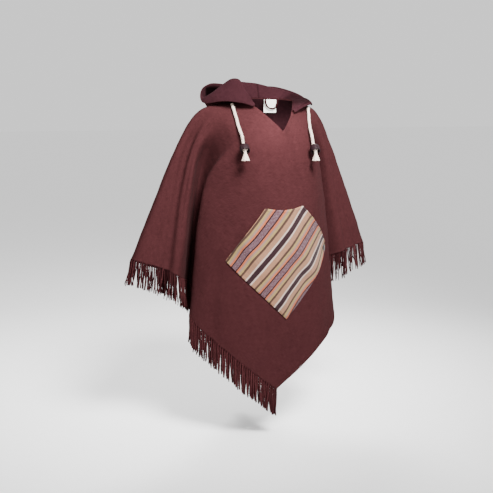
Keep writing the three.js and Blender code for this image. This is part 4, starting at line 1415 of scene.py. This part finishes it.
class PONCHO_OT_pocket(bpy.types.Operator):
    """Makes the striped pocket with its turned edges and its blank tag"""

    bl_idname = "poncho.pocket"
    bl_label = "Pocket"

    def execute(self, context):
        scene, settings = context.scene, context.scene.poncho_pocket
        s = np.unique(np.concatenate([np.linspace(0, 1, 73), [0.012, 0.988]]))
        v = np.unique(np.concatenate([np.linspace(0, 1, 49), [0.02, 0.98]]))
        s, v = np.meshgrid(s, v, indexing="ij")
        across, height, opening = self.outline(s, v)
        places, downs = front_spots(across, height)
        face, out = draped(places, downs, scene.poncho_body.creases, sewn=False)
        u, w = self.stripe_place(across, height)
        rumple = self.rumple(u, w) * settings.rumple
        margin = np.minimum.reduce([s, 1 - s, v]) * POCKET_WIDTH
        edge = np.minimum(margin, (1 - v) * POCKET_WIDTH)
        hem = np.exp(-((edge / HEM_WIDTH) ** 4)) * POCKET_HEM
        free = np.clip(margin / 0.03, 0, 1)
        grid = face + out * (POCKET_GAP + opening + rumple * free + 0.0002)[..., None]
        normal = grid_normals(grid)
        normal = normal * np.sign((normal * out).sum(-1, keepdims=True))
        outer = grid + normal * (settings.thickness + hem)[..., None]
        cut = np.stack([u * POCKET_WIDTH + self.wave(u, w), w * POCKET_WIDTH], -1)
        look = shared_look("Striped cloth", striped_cotton, scene.poncho_body.thread * 0.8)
        obj = shell("pocket_cloth", outer, grid, cut, [look, look])
        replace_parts(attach(obj, "root"), "pocket")
        min(sheet_area(outer), POCKET_WIDTH**2)
        sides = (np.s_[3, 2:-2], np.s_[-4, 2:-2], np.s_[3:-3, 2], np.s_[3:-3, -3])
        stitch_lines(scene, "pocket_stitches", [(outer[at], normal[at]) for at in sides])
        self.tag(scene)
        return {"FINISHED"}

    def outline(self, s, v):
        """Widths and heights of the pocket's points, and how far it stands open there."""
        p = {key: np.array(value) for key, value in POCKET.items()}
        low = np.where((s < 0.5)[..., None],
                       p["right"] + (p["bottom"] - p["right"]) * (s * 2)[..., None],
                       p["bottom"] + (p["left"] - p["bottom"]) * (s * 2 - 1)[..., None])
        corners = [p["right"], p["right_top"], p["left_top"], p["left"]]
        high, opening = np.zeros(s.shape + (2,)), np.zeros(s.shape)
        for n in range(3):
            a, b = TOP_TURNS[n], TOP_TURNS[n + 1]
            here = (s >= a) & (s <= b)
            t = (s - a) / (b - a)
            arch = np.sin(np.pi * np.clip(t, 0, 1))
            part = corners[n] + (corners[n + 1] - corners[n]) * t[..., None]
            if n == 1:
                part[..., 1] -= POCKET_TOP_SAG * arch
            high[here] = part[here]
            gape = POCKET_OPENING * np.abs(arch) ** 0.7 * v**3
            opening = np.where(here & (n != 1), gape, opening)
        spot = low + (high - low) * v[..., None]
        return spot[..., 0], spot[..., 1], opening

    def stripe_place(self, x, z):
        """Shares across and along the stripes, which run with the two slanted edges."""
        right, bottom, left = (np.array(POCKET[k]) for k in ("right", "bottom", "left"))
        apex = np.array(POCKET_APEX)
        goal = np.stack([x, z], -1)
        a, b = np.full(x.shape + (1,), 0.5), np.full(x.shape + (1,), 0.5)

        def cross(p, q):
            return p[..., :1] * q[..., 1:] - p[..., 1:] * q[..., :1]

        for _ in range(12):
            low, high = right + (bottom - right) * a, apex + (left - apex) * a
            da = (1 - b) * (bottom - right) + b * (left - apex)
            db = high - low
            miss = goal - low - db * b
            a, b = a + cross(miss, db) / cross(da, db), b + cross(da, miss) / cross(da, db)
        return a[..., 0], b[..., 0]

    def wave(self, u, w):
        """How the stripes swing from side to side where the cloth is rumpled."""
        left = 0.004 * np.exp(-((w - 0.22) / 0.10) ** 2) * np.exp(-((u - 0.12) / 0.2) ** 2)
        swing = 0.007 * np.sin((w - 0.1) * 7.5) * np.clip((u - 0.45) / 0.5, 0, 1)
        return left + swing

    def rumple(self, u, w):
        """How far the pocket stands off the front in its lumps and dips."""
        ridge = 0.0035 * np.exp(-((w - 0.28 + 0.25 * u) / 0.07) ** 2) * (0.4 + 0.6 * (1 - u))
        right = 0.0045 * np.exp(-((w - 0.62) / 0.10) ** 2) * np.clip((u - 0.4) / 0.4, 0, 1)
        dip = -0.002 * np.exp(-((w - 0.45) / 0.08) ** 2) * u
        return ridge + right + dip

    def tag(self, scene):
        line = np.linspace(-0.5, 0.5, 7)
        i, j = np.meshgrid(line, line, indexing="ij")
        places, downs = front_spots(TAG["across"] + TAG["width"] * i,
                                    TAG["height"] - TAG["length"] * j)
        bow = 0.0008 * (1 - 4 * j * j)
        face, out = draped(places, downs, scene.poncho_body.creases, sewn=False)
        base = face + out * (TAG["lift"] + bow)[..., None]
        look = shared_look("Black tape", soft_tape, (0.012, 0.012, 0.012))
        obj = shell("tag_tape", base + out * TAG_THICKNESS, base,
                    np.stack([i * TAG["width"], j * TAG["length"]], -1), [look, look])
        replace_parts(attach(obj, "root"), "pocket_tag")


def stitch_lines(scene, name, sewn):
    """Sews a running stitch along each line of points, given with the cloth's way out there."""
    settings = scene.poncho_stitches
    lines, ups = zip(*sewn)
    obj = line_mesh(name, lines, up=ups)
    applied(obj, stitch_graph(), {
        "Length": settings.length, "Gap": settings.gap, "Thread": settings.width,
        "Material": thread_look(scene)}, name)
    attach(obj, "root")


class PONCHO_OT_seams(bpy.types.Operator):
    """Sews the arm-top seams, the neckline and the plain hems"""

    bl_idname = "poncho.seams"
    bl_label = "Seams"

    def execute(self, context):
        scene = context.scene
        down = np.linspace(0.01, 0.99, 90)
        rows = [(np.full(down.shape, seam + off), down)
                for seam in (SEAM, RING - SEAM) for off in (-SEAM_ROW, SEAM_ROW)]
        level = [(0.1 - SEAM, RING - SEAM - 0.1, 300, NECK_ROW)]
        level += [(first, last, 160, HEM_ROW) for first, last in PLAIN_HEMS]
        for first, last, count, low in level:
            rows.append((np.linspace(first, last, count), np.full(count, low)))
        sewn = []
        for places, downs in rows:
            points, out = draped(places, downs, scene.poncho_body.creases)
            sewn.append((points + out * BODY_THREAD_LIFT, out))
        stitch_lines(scene, "seam_stitches", sewn)
        return {"FINISHED"}


class PONCHO_OT_fringe(bpy.types.Operator):
    """Makes the four fringes of twisted strands"""

    bl_idname = "poncho.fringe"
    bl_label = "Fringe"

    def execute(self, context):
        scene = context.scene
        graph = strand_graph()
        for number, (name, first, last) in enumerate(FRINGES):
            self.fringe(scene, graph, name, first, last, number)
        for panel, area in PANEL_AREAS.items():
            half = panel.split("_")[0]
        return {"FINISHED"}

    def fringe(self, scene, graph, name, first, last, number):
        settings = scene.poncho_fringe
        chance = np.random.default_rng(settings.seed + number)
        roots = self.roots(scene, chance, first, last)
        count = len(roots)
        arm = self.on_arm(roots)
        rear = np.arange(count) % 2
        base, out = self.hem(scene, roots)
        fall = unit(cloth(roots, np.ones(count)) - cloth(roots, np.full(count, 0.99)))
        tucked = 0.0003 - STRAND_TUCK * chance.random(count)
        behind = STRAND_DEPTH + REAR_ROW * rear * ~arm
        start = base + fall * tucked[:, None] - out * behind[:, None]
        inward = np.clip(SEAM - np.abs(roots), 0, ARM_REACH) / ARM_REACH
        arm_length = settings.arm_length * (1 + ARM_INWARD * inward)
        length = np.where(arm, arm_length, settings.panel_length)
        length = length * chance.uniform(0.94, 1.02, count)
        thick = np.where(arm, settings.arm_strand, settings.panel_strand) / 2
        thick = thick * chance.uniform(0.85, 1.15, count)
        sway = chance.normal(0, 1, (count, 3)) * np.where(arm, ARM_SWAY, PANEL_SWAY)[:, None]
        sway[:, 2] = 0
        wide = np.maximum(np.abs(base[:, 0]) - FLARE_FROM, 0)
        sway[:, 0] += np.sign(base[:, 0]) * FLARE * wide / FLARE_RUN
        steps = np.linspace(0, 1, 5)[:, None]
        lines, phases_and_rear_shade = [], []
        for n in range(count):
            drop = np.array([0, 0, STRAND_BEND - length[n]])
            bend = start[n] + fall[n] * STRAND_BEND
            lines.append(np.concatenate([start[n][None], bend + steps * drop]))
            # Twist phase, which also sets the strand's tone: random over the arms; the rear row
            # below a panel gets low values, painted shade behind the front row.
            phases_and_rear_shade.append(chance.uniform(0, 1) if arm[n]
                          else chance.uniform(0, 0.4) + 0.6 * (1 - rear[n]))
        points = len(lines[0])
        facts = {key: [np.repeat(value[None], points, 0) for value in np.asarray(values)]
                 for key, values in (("sway", sway), ("thick", thick), ("phase", phases_and_rear_shade))}
        strands = line_mesh(f"strands_{name}", lines, **facts)
        applied(strands, graph, {"Twist": settings.twist, "Material": yarn_look(scene),
                                 **STRAND_INPUTS}, strands.name)
        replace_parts(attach(strands, "root"), f"fringe_{name}")

    def roots(self, scene, chance, first, last):
        """Unevenly spaced places of the strands along a stretch of the hem."""
        fine = np.linspace(first, last, 1500)
        run = run_along(self.hem(scene, fine)[0])
        roots, at = [], 0.001
        while at < run[-1] - 0.001:
            roots.append(np.interp(at, run, fine))
            pitch = ARM_PITCH if self.on_arm(roots[-1]) else PANEL_PITCH
            at += pitch * chance.uniform(0.8, 1.2)
        return np.array(roots)

    def on_arm(self, place):
        return np.abs(np.mod(np.abs(place), LAST_FOLD) - SEAM) < ARM_REACH

    def hem(self, scene, places):
        return draped(places, np.ones(places.shape), scene.poncho_body.creases, sewn=False)


class PONCHO_OT_nape(bpy.types.Operator):
    """Makes the blank neck label and the hanger loop"""

    bl_idname = "poncho.nape"
    bl_label = "Label and loop"

    def execute(self, context):
        half = LABEL["size"] / 2
        line = np.linspace(-1, 1, 25)
        i, j = np.meshgrid(line, line, indexing="ij")
        turn = math.radians(LABEL["turn"])
        bow = 0.0012 * (1 - i * i) + 0.0008 * np.sin(2.5 * j)
        local = np.stack([i * half, -bow, j * half], -1)
        spin = np.array(Euler((0, 0, turn)).to_matrix())
        face = local @ spin.T + np.array(LABEL["place"])
        out = np.array([0, -1, 0]) @ spin.T
        look = shared_look("White tape", soft_tape, (0.66, 0.66, 0.61))
        deep = out * LABEL_THICKNESS / 2
        label = shell("label_tape", face + deep, face - deep,
                      np.stack([i * half, j * half], -1), [look, look])
        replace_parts(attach(label, "root"), "neck_label")
        loop = tube_mesh("loop_cord", smooth_path(LOOP, 0.001), LOOP_RADIUS, 12,
                         [yarn_look(context.scene)])
        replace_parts(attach(loop, "root"), "hanger_loop")
        return {"FINISHED"}


class PONCHO_PT_panel(bpy.types.Panel):
    bl_idname = "PONCHO_PT_panel"
    bl_label = "Poncho"
    bl_space_type = "VIEW_3D"
    bl_region_type = "UI"
    bl_category = "Poncho"

    def draw(self, context):
        for operator, settings in PIECES:
            self.layout.operator(operator.bl_idname)
            group = getattr(context.scene, settings, None)
            if group is not None:
                for key in group.bl_rna.properties.keys():
                    if key not in {"rna_type", "name"}:
                        self.layout.prop(group, key)


SETTINGS = {
    "poncho_stage": StageSettings,
    "poncho_body": BodySettings,
    "poncho_hood": HoodSettings,
    "poncho_pocket": PocketSettings,
    "poncho_fringe": FringeSettings,
    "poncho_cords": CordSettings,
    "poncho_stitches": StitchSettings,
}
PIECES = [
    (PONCHO_OT_stage, "poncho_stage"),
    (PONCHO_OT_cords, "poncho_cords"),
    (PONCHO_OT_body, "poncho_body"),
    (PONCHO_OT_hood, "poncho_hood"),
    (PONCHO_OT_pocket, "poncho_pocket"),
    (PONCHO_OT_fringe, "poncho_fringe"),
    (PONCHO_OT_seams, "poncho_stitches"),
    (PONCHO_OT_nape, "poncho_body"),
]


def register():
    for group in SETTINGS.values():
        bpy.utils.register_class(group)
    for operator, _ in PIECES:
        bpy.utils.register_class(operator)
    bpy.utils.register_class(PONCHO_PT_panel)
    for key, group in SETTINGS.items():
        setattr(bpy.types.Scene, key, PointerProperty(type=group))


def unregister():
    for key in SETTINGS:
        delattr(bpy.types.Scene, key)
    bpy.utils.unregister_class(PONCHO_PT_panel)
    for operator, _ in PIECES:
        bpy.utils.unregister_class(operator)
    for group in SETTINGS.values():
        bpy.utils.unregister_class(group)


def main():
    register()
    for operator, _ in PIECES:
        group, name = operator.bl_idname.split(".")
        getattr(getattr(bpy.ops, group), name)()


if __name__ == "__main__":
    main()
